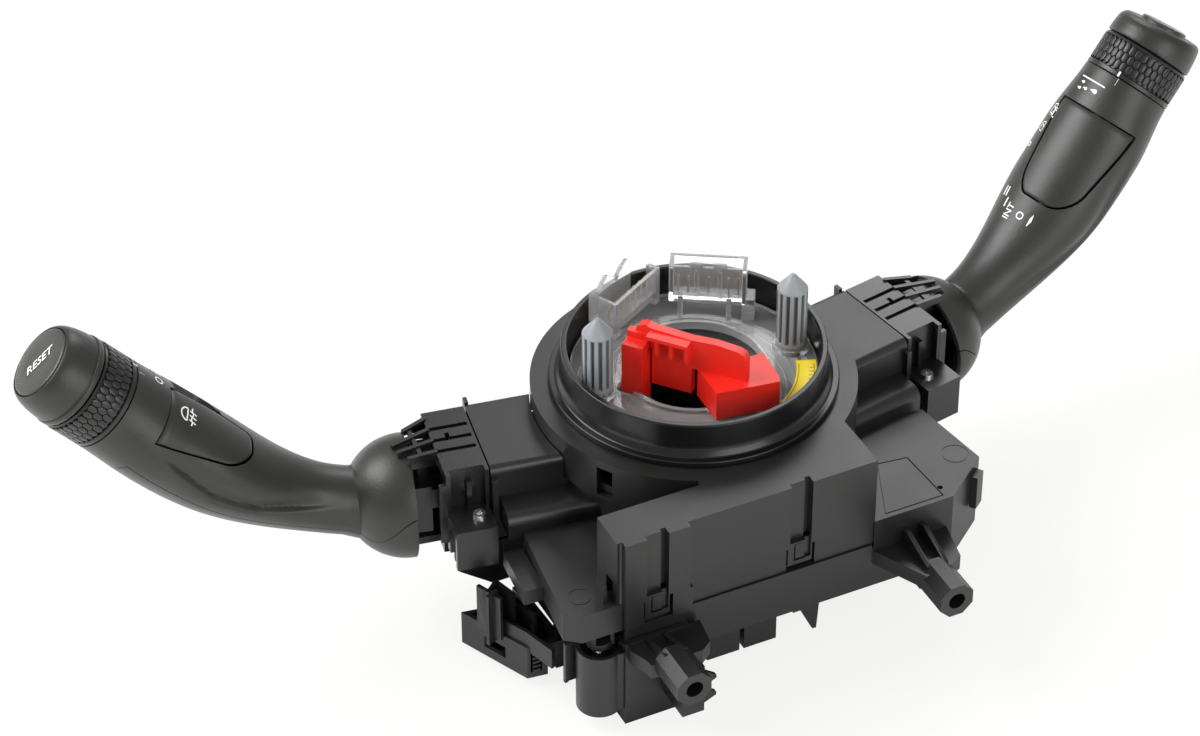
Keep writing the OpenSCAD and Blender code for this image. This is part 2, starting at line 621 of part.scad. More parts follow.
// open band of shell from angle -a0 round to a1, whose half angle may change along the lever
module band(st, d0, d1, lo, hi, m) {
    loops = [for (i = [0:len(st) - 1])
        concat(strip(st[i], d0, lo[i], hi[i], m), [for (k = [m:-1:0]) strip(st[i], d1, lo[i], hi[i], m)[k]])];
    loft(loops, [for (j = [0:m - 1]) [j, j + 1, 2 * m - j, 2 * m + 1 - j]]);
}
seam_gap = 0.45;
band_steps = 24;
// patch of the lever's skin, t from t0 to t1, between the angles lo and hi at each station
patch_steps = 8;
module patch(side, t0, t1, lo, hi, d0, d1) {
    st = [for (i = [0:patch_steps]) stalk_station(side, t0 + (t1 - t0) * i / patch_steps)];
    band(st, d0, d1, lo, hi, patch_steps);
}
// Fog lamp panel on the left lever
fog_t0 = 0.53;
fog_t1 = 0.845;
function fog_lo(grow) = [for (i = [0:patch_steps]) let (s = 1 - i / patch_steps) -3 - 5 * sin(160 * s) - grow];
function fog_hi(grow) = [for (i = [0:patch_steps]) let (s = 1 - i / patch_steps)
    68.6 - 27 * s - 18 * ease((s - 0.8) / 0.2) + grow];
// Rear wiper rocker on the right lever
rocker_t0 = 0.54;
rocker_t1 = 0.85;
// widest gap beside the rocker's outer end, which dips most
rocker_end_gap_a = 2;
function rocker_lo(grow, more = 0) = [for (i = [0:patch_steps]) let (s = 1 - i / patch_steps)
    -36 + 17 * s + 6 * ease((s - 0.8) / 0.2) - grow - more * (1 - s)];
function rocker_hi(grow, more = 0) = [for (i = [0:patch_steps]) let (s = 1 - i / patch_steps)
    73 - 26 * s - 18 * ease((s - 0.8) / 0.2) + grow + more * (1 - s)];
slot_t0 = 0.64;
slot_t1 = 0.83;
function slot_lo(grow) = [for (i = [0:patch_steps]) let (s = 1 - i / patch_steps) -31 + 14 * ease((s - 0.6) / 0.4) - grow];
function slot_hi(grow) = [for (i = [0:patch_steps]) -2 + grow];
panel_gap_t = 0.0045;
panel_gap_a = 1.4;
// the fog panel is pressed in square, so its sloping sides need more
fog_gap_a = 2;

module front_shell(side) {
    st = concat(shell_stations(side), collar_stations(side));
    lo = [for (s = st) seam_gap - s[5]];
    hi = [for (s = st) s[5] - seam_gap];
    resize([0, 0, 0]) difference() {
        union() {
            band(st, 0, shell_wall, lo, hi, band_steps);
            if (side < 0)
                patch(side, slot_t0 - 0.01, slot_t1 + 0.01, slot_lo(2.5), slot_hi(3), shell_wall - 0.2, 5.6);
        }
        if (side < 0) {
            patch(side, fog_t0 - panel_gap_t, fog_t1 + panel_gap_t, fog_lo(fog_gap_a), fog_hi(fog_gap_a), -3, 4);
            patch(side, slot_t0, slot_t1, slot_lo(0), slot_hi(0), -3, 4.6);
        } else
            patch(side, rocker_t0 - panel_gap_t, rocker_t1 + panel_gap_t, rocker_lo(panel_gap_a, rocker_end_gap_a),
                rocker_hi(panel_gap_a, rocker_end_gap_a), -3, 4);
        dome_notch();
    }
}
module dome_notch() {
    rotate([0, 0, -lever_sweep]) bar(-dome_r, 5.3, -6, 10, dome_r - 7, dome_r + 5);
}
module rear_shell(side) {
    st = shell_stations(side);
    lo = [for (s = st) s[5] + seam_gap];
    hi = [for (s = st) 360 - s[5] - seam_gap];
    resize([0, 0, 0]) band(st, 0, shell_wall, lo, hi, band_steps - 4);
}
module left_front_shell() {
    color(lever_abs) lever_frame(-1) front_shell(-1);
}
module left_rear_shell() {
    color(lever_abs) lever_frame(-1) rear_shell(-1);
}
module right_front_shell() {
    color(lever_abs) lever_frame(1) front_shell(1);
}
module right_rear_shell() {
    color(lever_abs) lever_frame(1) rear_shell(1);
}
module rear_fog_button() {
    color(lever_abs) lever_frame(-1) resize([0, 0, 0]) patch(-1, fog_t0, fog_t1, fog_lo(0), fog_hi(0), 0, shell_wall);
}
module rear_wiper_rocker() {
    color(lever_abs) lever_frame(1)
        resize([0, 0, 0]) patch(1, rocker_t0, rocker_t1, rocker_lo(0), rocker_hi(0), 0, shell_wall);
}
lever_abs = "#242527";

hub_r = 5;
hub_l = 11;
arm_r = 4.2;
tail_l = 18;
spindle_r2 = 6;
spindle_back = 46;
// A straight limb of the core from one point of the lever's plane to another
module limb(a, b, w, h) {
    d = b - a;
    translate([a[0], 0, a[1]]) rotate([0, -atan2(d[1], d[0]), 0]) bar(0, norm(d), -w / 2, w / 2, -h / 2, h / 2);
}
module lever_core(side) {
    knee = curve(side, 0.32);
    shoulder = curve(side, 0.6);
    spindle_end = ring_l + 3;
    difference() {
        union() {
            rotate([90, 0, 0]) translate([0, 0, -hub_l / 2]) cylinder(r = hub_r, h = hub_l);
            bar(-tail_l, 0, -arm_r, arm_r, -arm_r, arm_r);
            bar(0, 14, -arm_r, arm_r, -arm_r, arm_r);
            limb([12, 0], knee, 2 * arm_r, 2 * arm_r);
            limb(knee - [3, 1], shoulder + [2, 2], 2 * arm_r, 2 * arm_r);
            translate([lever_reach, 0, lever_rise + side * lever_lift]) rotate([0, 90 - knob_slope, 0])
                translate([0, 0, -spindle_back]) cylinder(r = spindle_r2, h = spindle_back + spindle_end);
        }
        rotate([90, 0, 0]) translate([0, 0, -hub_l]) cylinder(r = cross_pin_r + pin_gap, h = 2 * hub_l);
        translate([-tail_l - 1, 0, 0]) rotate([0, 90, 0]) cylinder(r = plunger_r + pin_gap, h = tail_l - hub_r - 0.5);
    }
}
module left_lever_core() {
    color(grey_pa) lever_frame(-1) lever_core(-1);
}
module right_lever_core() {
    color(grey_pa) lever_frame(1) lever_core(1);
}
// Board for the knob's switches, above the core's outer limb
module lever_board(side) {
    a = curve(side, 0.32) - [3, 1];
    d = curve(side, 0.6) + [2, 2] - a;
    translate([a[0], 0, a[1]]) rotate([0, -atan2(d[1], d[0]), 0])
        bar(0.14 * norm(d), 0.62 * norm(d), -8, 8, arm_r + 0.02, arm_r + 1.6);
}
module left_lever_board() {
    color(board_green) lever_frame(-1) lever_board(-1);
}
module right_lever_board() {
    color(board_green) lever_frame(1) lever_board(1);
}

// Knurled ring that turns on the core's spindle
knurls = 60;
ring_gap = 0.35;
module knob_ring() {
    band0 = 4.2;
    difference() {
        union() {
            translate([0, 0, ring_gap]) cylinder(r1 = knob_r, r2 = knob_r - 0.2, h = band0 - ring_gap);
            translate([0, 0, band0]) cylinder(r = knob_r - 0.9, h = ring_l - ring_gap - band0);
            for (z = [band0 + 0.4, band0 + 3.7, band0 + 7]) translate([0, 0, z]) linear_extrude(height = 2.7)
                polygon([for (i = [0:2 * knurls - 1]) let (r = knob_r - (i % 2 == 0 ? 0.2 : 0.85), a = 180 * i / knurls)
                    r * [cos(a), sin(a)]]);
        }
        translate([0, 0, 4]) cylinder(r = knob_r - 3, h = ring_l);
        translate([0, 0, -1]) cylinder(r = spindle_r2 + pin_gap, h = ring_l);
        translate([0, 0, -1]) difference() {
            cylinder(r = knob_r - 3, h = 2.4);
            cylinder(r = spindle_r2 + 2, h = 2.4);
        }
    }
}
module light_selector_ring() {
    color(lever_abs) knob_frame(-1) knob_ring();
}
module rain_sensor_ring() {
    color(lever_abs) knob_frame(1) knob_ring();
}
cap_r = knob_r - 0.3;
cap_z0 = ring_l;
cap_z1 = ring_l + cap_l;
// End cap fixed on the spindle, with a well for its push button
module end_cap(well_r) {
    difference() {
        union() {
            translate([0, 0, cap_z0]) cylinder(r1 = cap_r, r2 = cap_r - 0.6, h = cap_l - 1.6);
            translate([0, 0, cap_z1 - 1.6]) cylinder(r1 = cap_r - 0.6, r2 = cap_r - 2.2, h = 1.6);
        }
        translate([0, 0, cap_z0 + 4]) cylinder(r = well_r + fit_gap, h = cap_l);
        translate([0, 0, cap_z0 - 1]) cylinder(r = spindle_r2 + 0.02, h = 4.2);
    }
}
module left_end_cap() {
    color(lever_abs) knob_frame(-1) end_cap(reset_r);
}
end_button_r = 9;
module right_end_cap() {
    color(lever_abs) knob_frame(1) end_cap(end_button_r);
}
module push_button(r) {
    translate([0, 0, cap_z0 + 4 + end_travel + 0.4]) cylinder(r = r, h = cap_l - 4 - end_travel - 1);
    translate([0, 0, cap_z1 - 0.7]) cylinder(r1 = r, r2 = r - 0.9, h = 1.3);
}
module reset_button() {
    color(button_abs) knob_frame(-1) push_button(reset_r);
}
module end_button() {
    color(button_abs) knob_frame(1) push_button(end_button_r);
}
button_abs = "#1b1c1e";
grey_pa = "#8d9194";
board_green = "#2f6b45";

// Gimbal yoke: trunnions along z turn in the frame's nose plates, the lever's cross pin lies along y
yoke_x = 8;
yoke_y = 9.5;
yoke_z = 10;
nose_z0 = 15.8;
nose_z1 = 18.8;
module yoke() {
    difference() {
        union() {
            bar(-yoke_x, yoke_x, -yoke_y, yoke_y, -yoke_z, yoke_z);
            translate([0, 0, -nose_z1 + 0.5]) cylinder(r = trunnion_r, h = 2 * nose_z1 - 1);
            for (z = [-nose_z0 + 0.3, yoke_z - 1]) translate([0, 0, z])
                cylinder(r = trunnion_r + 1.5, h = nose_z0 - yoke_z + 0.7);
        }
        bar(-yoke_x - 1, yoke_x + 1, -hub_l / 2 - 0.4, hub_l / 2 + 0.4, -yoke_z + 2.4, yoke_z - 2.4);
        rotate([90, 0, 0]) translate([0, 0, -yoke_y - 1]) cylinder(r = cross_pin_r + pin_gap / 2, h = 2 * yoke_y + 2);
    }
}
module left_yoke() {
    color(grey_pa) lever_frame(-1) yoke();
}
module right_yoke() {
    color(grey_pa) lever_frame(1) yoke();
}
module cross_pin() {
    rotate([90, 0, 0]) translate([0, 0, -yoke_y + 0.2]) cylinder(r = cross_pin_r, h = 2 * yoke_y - 0.4);
}
module left_cross_pin() {
    color(pin_steel) lever_frame(-1) cross_pin();
}
module right_cross_pin() {
    color(pin_steel) lever_frame(1) cross_pin();
}
pin_steel = "#a7abae";
plunger_clear = 0.3;
plunger_l = 7;
module plunger() {
    tip = detent_r - plunger_clear - plunger_r;
    translate([-tip, 0, 0]) rotate([0, 90, 0]) cylinder(r = plunger_r, h = plunger_l);
    translate([-tip, 0, 0]) sphere(r = plunger_r);
}
module left_detent_plunger() {
    color(pin_steel) lever_frame(-1) plunger();
}
module right_detent_plunger() {
    color(pin_steel) lever_frame(1) plunger();
}
// Coil spring behind the plunger
spring_turns = 4;
module detent_coil() {
    z0 = -detent_r + plunger_clear + plunger_r + plunger_l + 1.3;
    z1 = -hub_r - 1.7;
    coil_r = 1.65;
    translate([z0, 0, 0]) rotate([0, 90, 0])
        linear_extrude(height = z1 - z0, twist = -360 * spring_turns, slices = 8 * spring_turns, $fn = 6)
            translate([coil_r, 0]) circle(r = 0.32);
}
module left_detent_spring() {
    color(pin_steel) lever_frame(-1) detent_coil();
}
module right_detent_spring() {
    color(pin_steel) lever_frame(1) detent_coil();
}

// Switch frame that plugs into the block's sleeve and carries the lever's yoke
frame_u0 = turret_r + 3;
frame_u1 = block_joint + frame_l;
frame_v0 = block_v0 + 0.2;
frame_v1 = block_v1 - 2;
plug_z0 = part_z + 1 + wall + fit_gap;
bracket_v = 12.5;
ledge_top = block_z - 16.2;
ledge_u = [block_joint + 0.8, frame_u1 - 0.3];
ledge_v0 = block_v0 - 12;
screw_u = block_joint + 5.7;
screw_v = block_v0 - 5;
nose_r = 6;
groove_v = [4.9, -1.5, -7.6];
// Feet of the fan's ribs on the frame's edge, and their tips as [distance out, across]
fan_v = [11, 4.9, -1.5, -7.6];
fan_tip = [[8.6, 6.2], [14.3, -0.6], [13.4, -4.8], [10.3, -8.9]];
fan_steps = 6;
module switch_frame() {
    lip = wall + fit_gap;
    difference() {
        union() {
            bar(frame_u0, block_joint + 0.7, block_v0 + lip, block_v1 - lip, plug_z0, block_z - lip);
            bar(block_joint + 0.6, frame_u1, frame_v0, frame_v1, block_z - frame_h, block_z);
            bar(block_joint + 0.6, frame_u1 - 0.8, -bracket_v, bracket_v, pivot_z - nose_z1, block_z - frame_h + 1);
            bar(ledge_u[0], ledge_u[1], ledge_v0, frame_v0 + 1, block_z - frame_h - 3, ledge_top);
        }
        bar(frame_u0 - 1, frame_u1 + 1, block_v0 + lip + 2, block_v1 - lip - 2, plug_z0 + 2, block_z - lip - 2);
        bar(block_joint + 2.8, frame_u1 + 1, -bracket_v + 2, bracket_v - 2, pivot_z - nose_z0, block_z - frame_h / 2);
        bar(ledge_u[0] + 2, ledge_u[1] + 1, ledge_v0 + 2, frame_v0 - 2, block_z - frame_h - 4, ledge_top - 5);
        translate([screw_u, screw_v, ledge_top - 14]) cylinder(r = 1.3, h = 20);
        for (v = groove_v) bar(block_joint + 1.6, frame_u1 + 1, v - 0.9, v + 0.9, block_z - 1.2, block_z + 1);
        // pocket in the front wall
        bar(block_joint + 2, frame_u1 - 1.6, frame_v0 - 1, frame_v0 + 3.1, ledge_top, block_z + 1);
        bar(block_joint + 9.2, block_joint + 10.8, groove_v[1] - 0.4, groove_v[1] + 3.2, block_z - 5, block_z + 1);
    }
    bar(block_joint + 6.6, block_joint + 8.4, frame_v0 + 1, frame_v0 + 3.6, ledge_top - 1, block_z - 5);
    // strip beside the shroud
    bar(frame_u1 - 0.5, frame_u1 + 2.4, frame_v0 - 0.1, frame_v0 + 1.5, block_z - frame_h + 0.5, block_z - 4);
    bar(block_joint - 1, block_joint + 0.85, -9, 9, plug_z0 + 1, pivot_z + 9);
    nose_plate(nose_z0, nose_z1);
    nose_plate(-nose_z1, -nose_z0);
    bar(frame_u1 - 3, frame_u1 - 0.7, 0.4 - nose_r, nose_r - 0.4, pivot_z + nose_z0 + 0.3, block_z - 3);
    for (k = [0:3]) fan_rib([frame_u1 - 0.5, fan_v[k]], [frame_u1 + fan_tip[k][0], fan_tip[k][1]], block_z + 0.7);
    fan_rib([frame_u1 + 6.4, 8.4], [frame_u1 + 5.4, -8.2], block_z + 0.1);
}
module nose_plate(z0, z1) {
    translate([0, 0, pivot_z]) difference() {
        union() {
            bar(frame_u1 - 3, pivot_u, -nose_r, nose_r, z0, z1);
            translate([pivot_u, 0, z0]) cylinder(r = nose_r, h = z1 - z0);
        }
        translate([pivot_u, 0, z0 - 1]) cylinder(r = trunnion_r + pin_gap, h = z1 - z0 + 2);
    }
}
// Rib that clears the lever's shroud from below, from plan point a to plan point b
fan_w = 1.5;
function shroud_top(p) = let (r = dome_r + 0.7, d = norm(p - [pivot_u, 0])) pivot_z + sqrt(max(0, r * r - d * d));
module fan_rib(a, b, top) {
    d = b - a;
    under = [for (i = [0:fan_steps]) [norm(d) * i / fan_steps, max(block_z - 9, shroud_top(a + d * i / fan_steps))]];
    translate([a[0], a[1], 0]) rotate([90, 0, atan2(d[1], d[0])]) translate([0, 0, -fan_w / 2])
        linear_extrude(height = fan_w) polygon(concat(under, [[norm(d), top], [0, top]]));
}
module left_switch_frame() {
    color(dark_abs) block_frame(-1) switch_frame();
}
module right_switch_frame() {
    color(dark_abs) block_frame(1) switch_frame();
}
// Dished plate that the plunger rides on
module detent_dish() {
    difference() {
        bar(block_joint + 0.9, pivot_u - detent_r + 2.2, -9, 9, plug_z0 + 2.05, pivot_z + 9);
        translate([pivot_u, 0, pivot_z]) sphere(r = detent_r, $fn = 160);
    }
}
module left_detent_plate() {
    color(white_pom) block_frame(-1) detent_dish();
}
module right_detent_plate() {
    color(white_pom) block_frame(1) detent_dish();
}
white_pom = "#d9d9d2";
module contact_board() {
    bar(frame_u0 + 1, block_joint - 1, block_v0 + 8, block_v1 - 8, plug_z0 + 2.4, plug_z0 + 4);
    for (v = [block_v0 + 10, block_shift - 2, block_v1 - 14])
        bar(frame_u0 + 4, frame_u0 + 9, v, v + 4, plug_z0 + 4 - eps, plug_z0 + 6.5);
}
module left_contact_board() {
    color(board_green) block_frame(-1) contact_board();
}
module right_contact_board() {
    color(board_green) block_frame(1) contact_board();
}
// One pan-head screw, axis +z, seat at the origin
module screw(l) {
    difference() {
        cylinder(r1 = 2.65, r2 = 2.2, h = 1.9);
        translate([0, 0, 0.7]) cylinder(r = 1.15, h = 3, $fn = 6);
    }
    translate([0, 0, -l]) cylinder(r = 1.2, h = l + 0.1);
}
module frame_screws() {
    color(pin_steel) for (side = [-1, 1]) block_frame(side) translate([screw_u, screw_v, ledge_top + 0.02]) screw(11);
}
module post_screw() {
    color(pin_steel) translate([post_x, post_y, post_top - 4.98]) screw(6);
}
module loom_connectors() {
    color(dark_abs) for (c = [conn_a, conn_b]) difference() {
        bar(c[0], c[1], conn_y[0], conn_y[1], conn_foot, floor_z + 9);
        bar(c[0] + 1.4, c[1] - 1.4, conn_y[0] + 1.4, conn_y[1] - 1.4, conn_foot - 1, floor_z + 6);
    }
}
module connector_pins() {
    color(pin_brass) for (c = [conn_a, conn_b]) for (k = [0:3]) for (y = [conn_y[0] + 4.4, conn_y[1] - 5])
        bar(c[0] + 2.4 + 2.4 * k, c[0] + 3 + 2.4 * k, y, y + 0.6, conn_foot + 4, floor_z + 5.99);
}
pin_brass = "#b08d4a";
board_z = deck_z + 3;
module control_board() {
    color(board_green) {
        bar(-cover_left + 4, cover_right - 4, front_wall + 6, front_wall + 12.6, board_z, board_z + 1.6);
        for (x = [-48, -20, 6]) bar(x, x + 9, front_wall + 7, front_wall + 11.6, board_z + 1.6 - eps, board_z + 3.6);
    }
}
// Side frame under the left deck: an open box with blades standing on it, hung from the base by a post
frame_foot = 3.4;
frame_top = 17.6;
frame_wall = 1.6;
frame_plan = [[-84.8, -40], [-77.3, -41], [-89.9, -13.8], [-97.5, -12.5]];
module blade(a, b, z0, z1) {
    d = b - a;
    translate([a[0], a[1], 0]) rotate([0, 0, atan2(d[1], d[0])]) bar(0, norm(d), -0.7, 0.7, z0, z1);
}
module side_frame() {
    color(black_abs) {
        difference() {
            prism(frame_plan, frame_foot, frame_top);
            prism(inset(frame_plan, frame_wall), frame_foot + frame_wall, frame_top + 1);
            // window of the comb
            bar(-83.6, -79.4, -43, -37, frame_foot + 2.4, frame_top - 2);
            // slot along the left side
            bar(-96, -86, -31, -22, frame_foot + 4, frame_foot + 9);
        }
        blade([-89.3, -26.8], [-83.9, -38.2], frame_top - 2, floor_z);
        blade([-83.9, -38.2], [-79.9, -51.1], frame_top - 2, floor_z);
        blade([-90.2, -31.2], [-94.6, -21], frame_top - 1, floor_z + 12);
        blade([-94.4, -28.3], [-89.6, -26], frame_top - 4, floor_z + 12);
        blade([-93, -26.1], [-87.4, -21.3], frame_top - 1, floor_z + 12);
        blade([-88, -20.8], [-85.1, -30.6], frame_top - 1.4, floor_z + 11.6);
        // shelf towards the base, with two ribs
        prism([[-77.9, -39.8], [-70.6, -38.4], [-72, -10], [-90.4, -12.8]], frame_top - 2.7, frame_top - 1.1);
        blade([-79.4, -35.6], [-84.4, -17.4], frame_top - 1.6, floor_z + 4);
        blade([-75.4, -36], [-77.6, -14], frame_top - 1.6, floor_z - 1);
        // post and its arm
        bar(-73.4, -70.2, -39.6, -37.4, frame_foot, floor_z);
        bar(-79.6, -70.4, -40.4, -38.6, frame_foot + 6, frame_top - 1);
    }
}
module cable_comb() {
    color(dark_abs) {
        for (k = [0:4]) bar(-83, -80, -40.9, -38, frame_foot + 2.8 + 1.9 * k, frame_foot + 3.9 + 1.9 * k);
        bar(-83, -81.6, -38.4, -37, frame_foot + frame_wall, frame_top - 2.4);
    }
}

rotor_z = rim_z - rotor_depth;
rotor_top = rotor_z + rotor_t;
rotor_r = rim_r - rim_wall - rotor_gap;
drive_pin_x = rotor_r - pin_inset;
module rotor_disc() {
    color(clear_pc) difference() {
        union() {
            translate([0, 0, rotor_z]) tube(rotor_r, rotor_hole_r, rotor_t);
            translate([0, 0, rotor_top - eps]) tube(rotor_hole_r + 1.6, rotor_hole_r, 1.4);
            for (p = drive_pins_at) translate([p[0], p[1], rotor_top - eps]) cylinder(r = drive_pin_r + 1.2, h = 2);
        }
        for (p = drive_pins_at) translate([p[0], p[1], rotor_z - 1]) cylinder(r = 2.52, h = 8);
        prism(inset(lock_box, -0.4), rotor_top - eps, rotor_top + 3);
        lock_window(1.8, rotor_z - 1, rotor_top + 3);
    }
}
drive_pins_at = [drive_pin_x * [cos(-7), sin(-7)], drive_pin_x * [cos(176), sin(176)]];
clear_pc = "#dfe5e8";
module rotor_sleeve() {
    color(black_abs) difference() {
        union() {
            translate([0, 0, sleeve_foot]) cylinder(r = sleeve_r, h = rotor_z - sleeve_foot);
            translate([0, 0, rotor_z - 2]) cylinder(r = rotor_hole_r + 3, h = 1.99);
        }
        translate([0, 0, sleeve_foot - 1]) cylinder(r = sleeve_r - sleeve_wall, h = 60);
        lock_window(0.4, lock_leg_z - 0.5, rotor_z + 1);
    }
}
sleeve_foot = collar_top + 1;
// Share of the full tooth thickness, the rest is play
tooth_play = 0.4;
// Outline of a spur gear with straight-sided teeth
function gear_outline(n, m, play) = let (r = n * m / 2) [for (i = [0:n - 1]) for (k = [0:3])
    let (a = 360 * i / n + (k == 0 ? -118 : k == 1 ? -44 : k == 2 ? 44 : 118) * play / n,
        rr = (k == 0 || k == 3) ? r - 1.15 * m : r + 0.9 * m) rr * [cos(a), sin(a)]];
module sensor_drive_gear() {
    color(white_pom) translate([0, 0, gear_z]) difference() {
        linear_extrude(height = gear_w) polygon(gear_outline(gear_teeth, gear_module, tooth_play));
        translate([0, 0, -1]) cylinder(r = sleeve_r + 0.02, h = gear_w + 2);
    }
}
module pinion(p, n, phase) {
    translate([p[0], p[1], gear_z]) difference() {
        rotate([0, 0, phase]) linear_extrude(height = gear_w) polygon(gear_outline(n, gear_module, tooth_play));
        translate([0, 0, -1]) cylinder(r = spindle_r + pin_gap, h = gear_w + 2);
    }
}
// a pinion's space faces the drive gear's tooth on the line of centres
function mesh_phase(angle, n) = let (step = 360 / gear_teeth, off = angle - step * round(angle / step))
    angle + 180 - 180 / n - off * gear_teeth / n;
module sensor_pinion_a() {
    color(white_pom) pinion(pinion_a_pos, pinion_a_teeth, mesh_phase(-58, pinion_a_teeth));
}
module sensor_pinion_b() {
    color(white_pom) pinion(pinion_b_pos, pinion_b_teeth, mesh_phase(-122, pinion_b_teeth));
}
module cancel_cam() {
    color(white_pom) translate([0, 0, sleeve_foot + 0.6]) difference() {
        union() {
            cylinder(r = sleeve_r + 1.8, h = 2.4);
            for (a = [0, 180]) rotate([0, 0, a]) bar(0, sleeve_r + 3.4, -3, 3, 0, 2.4);
        }
        translate([0, 0, -1]) cylinder(r = sleeve_r + 0.02, h = 5);
    }
}
module flat_cable() {
    r0 = sleeve_r + 3;
    r1 = rim_r - rim_wall - 1.4;
    pitch = (r1 - r0) / cable_turns;
    n = 28;
    steps = n * cable_turns;
    inner = [for (i = [0:steps]) let (r = r0 + pitch * i / n) r * [cos(360 * i / n), sin(360 * i / n)]];
    outer = [for (i = [steps:-1:0]) let (r = r0 + cable_t + pitch * i / n) r * [cos(360 * i / n), sin(360 * i / n)]];
    color(cable_white) translate([0, 0, case_floor_z + wall + 1.2]) linear_extrude(height = cable_h)
        polygon(concat(inner, outer));
}
cable_white = "#c9cbc8";
// Wheel connector sockets: one stands on legs at the rear, one lies along the disc's left edge
rear_socket_mid = [16.55, 22.25];
rear_socket_turn = -31.3;
rear_socket_z = rotor_top + 7.4;
left_socket_mid = (rotor_r - 10.54) * [cos(100.04), sin(100.04)];
left_socket_turn = 29;
left_socket_z = rotor_top + 3.2;
module rear_wheel_socket() {
    color(clear_pc) translate([rear_socket_mid[0], rear_socket_mid[1], 0]) rotate([0, 0, rear_socket_turn]) {
        difference() {
            bar(-socket_l / 2, socket_l / 2, 0, socket_d, rear_socket_z, rear_socket_z + socket_h);
            bar(1.4 - socket_l / 2, socket_l / 2 - 1.4, 1.4, socket_d - 1.4, rear_socket_z + 2, rear_socket_z + 40);
        }
        for (x = [-socket_l / 2 + 3.2, socket_l / 2 - 7]) bar(x, x + 1.6, 0, 5, rotor_top, rear_socket_z + eps);
        bar(socket_l / 2 - 1.5, socket_l / 2 + 3, 1, 8, rotor_top, rotor_top + 9);
        for (x = [-4, 4.4]) bar(x - 2.4, x + 2.4, 0, 1.4, rear_socket_z + socket_h - eps, rear_socket_z + socket_h + 1.6);
        for (x = [-4, 4.4]) bar(x - 0.6, x + 0.6, -0.8, 0.1, rear_socket_z + 1, rear_socket_z + socket_h - 1);
    }
}
module left_wheel_socket() {
    h = 12;
    color(clear_pc) intersection() {
        translate([left_socket_mid[0], left_socket_mid[1], 0]) rotate([0, 0, left_socket_turn]) {
            difference() {
                bar(-socket_l / 2, socket_l / 2, 0, 20, left_socket_z, left_socket_z + h);
                bar(1.4 - socket_l / 2, socket_l / 2 - 1.4, 1.4, 8, left_socket_z + 2, left_socket_z + 40);
            }
            for (x = [-socket_l / 2, socket_l / 2 - 3]) bar(x, x + 3, 0, 4, rotor_top, left_socket_z + eps);
            for (x = [-7.5, 4.5]) translate([x, 9.6, left_socket_z + h - 1]) rotate([90, 0, 0])
                linear_extrude(height = 1.6) polygon([[-5.5, 0], [5.5, 0], [5.5, 3], [0, 7], [-5.5, 3]]);
        }
        cylinder(r = rotor_r - 0.5, h = rim_z + 20);
    }
}
module socket_terminals() {
    color(pin_brass) {
        translate([rear_socket_mid[0], rear_socket_mid[1], 0]) rotate([0, 0, rear_socket_turn])
            for (k = [0:terminals - 1]) bar(-11 + 3.6 * k, -10.4 + 3.6 * k, 3.9, 4.5, rear_socket_z + 2, rear_socket_z + 9);
        translate([left_socket_mid[0], left_socket_mid[1], 0]) rotate([0, 0, left_socket_turn])
            for (k = [0:terminals - 1]) bar(-11 + 3.6 * k, -10.4 + 3.6 * k, 4.2, 4.8, left_socket_z + 2, left_socket_z + 8);
    }
}
module drive_pins() {
    shaft = drive_pin_h - 5.5;
    color(grey_pa) for (p = drive_pins_at) translate([p[0], p[1], rotor_top + 2]) {
        translate([0, 0, -4]) cylinder(r = 2.5, h = 4.1);
        cylinder(r = drive_pin_r + 0.15, h = 1.6);
        translate([0, 0, 1.5]) linear_extrude(height = shaft - 1.5) polygon([for (i = [0:flutes - 1]) for (k = [-2, -1, 1, 2])
            let (a = 360 * i / flutes + k * 360 / flutes / 4.6, r = abs(k) == 1 ? drive_pin_r : drive_pin_r - 0.8)
            r * [cos(a), sin(a)]]);
        translate([0, 0, shaft - eps]) cylinder(r1 = drive_pin_r - 0.4, r2 = 0.7, h = drive_pin_h - shaft);
    }
}
module rotor_label() {
    color(label_yellow) translate([0, 0, rotor_top + 0.02]) intersection() {
        tube(rotor_r - 0.5, rotor_r - 7.6, 0.3);
        prism([[0, 0], 60 * [cos(-60), sin(-60)], 60 * [cos(-21), sin(-21)]], -1, 1);
    }
}
label_yellow = "#f0d81c";
// Lock frame: x runs along its wall, y away from the driver's side
lock_turn = -50;
lock_at = [-6.5, -15.1];
lock_leg_z = rotor_z - 5;
lock_wall = 3.4;
lock_gap = 0.4;
lock_box = [[-6.9, -30.4], [16, -34], [17.1, -31.3], [18.3, -17.1], [12.4, -17], [-6.5, -15.1]];
module lock_frame() {
    translate([lock_at[0], lock_at[1], 0]) rotate([0, 0, lock_turn]) children();
}
// Opening that the lock's leg reaches down through
module lock_window(play, z0, z1) {
    lock_frame() bar(-26 - play, -18.2 + play, -6.5 - play, 1.5 + play, z0, z1);
}
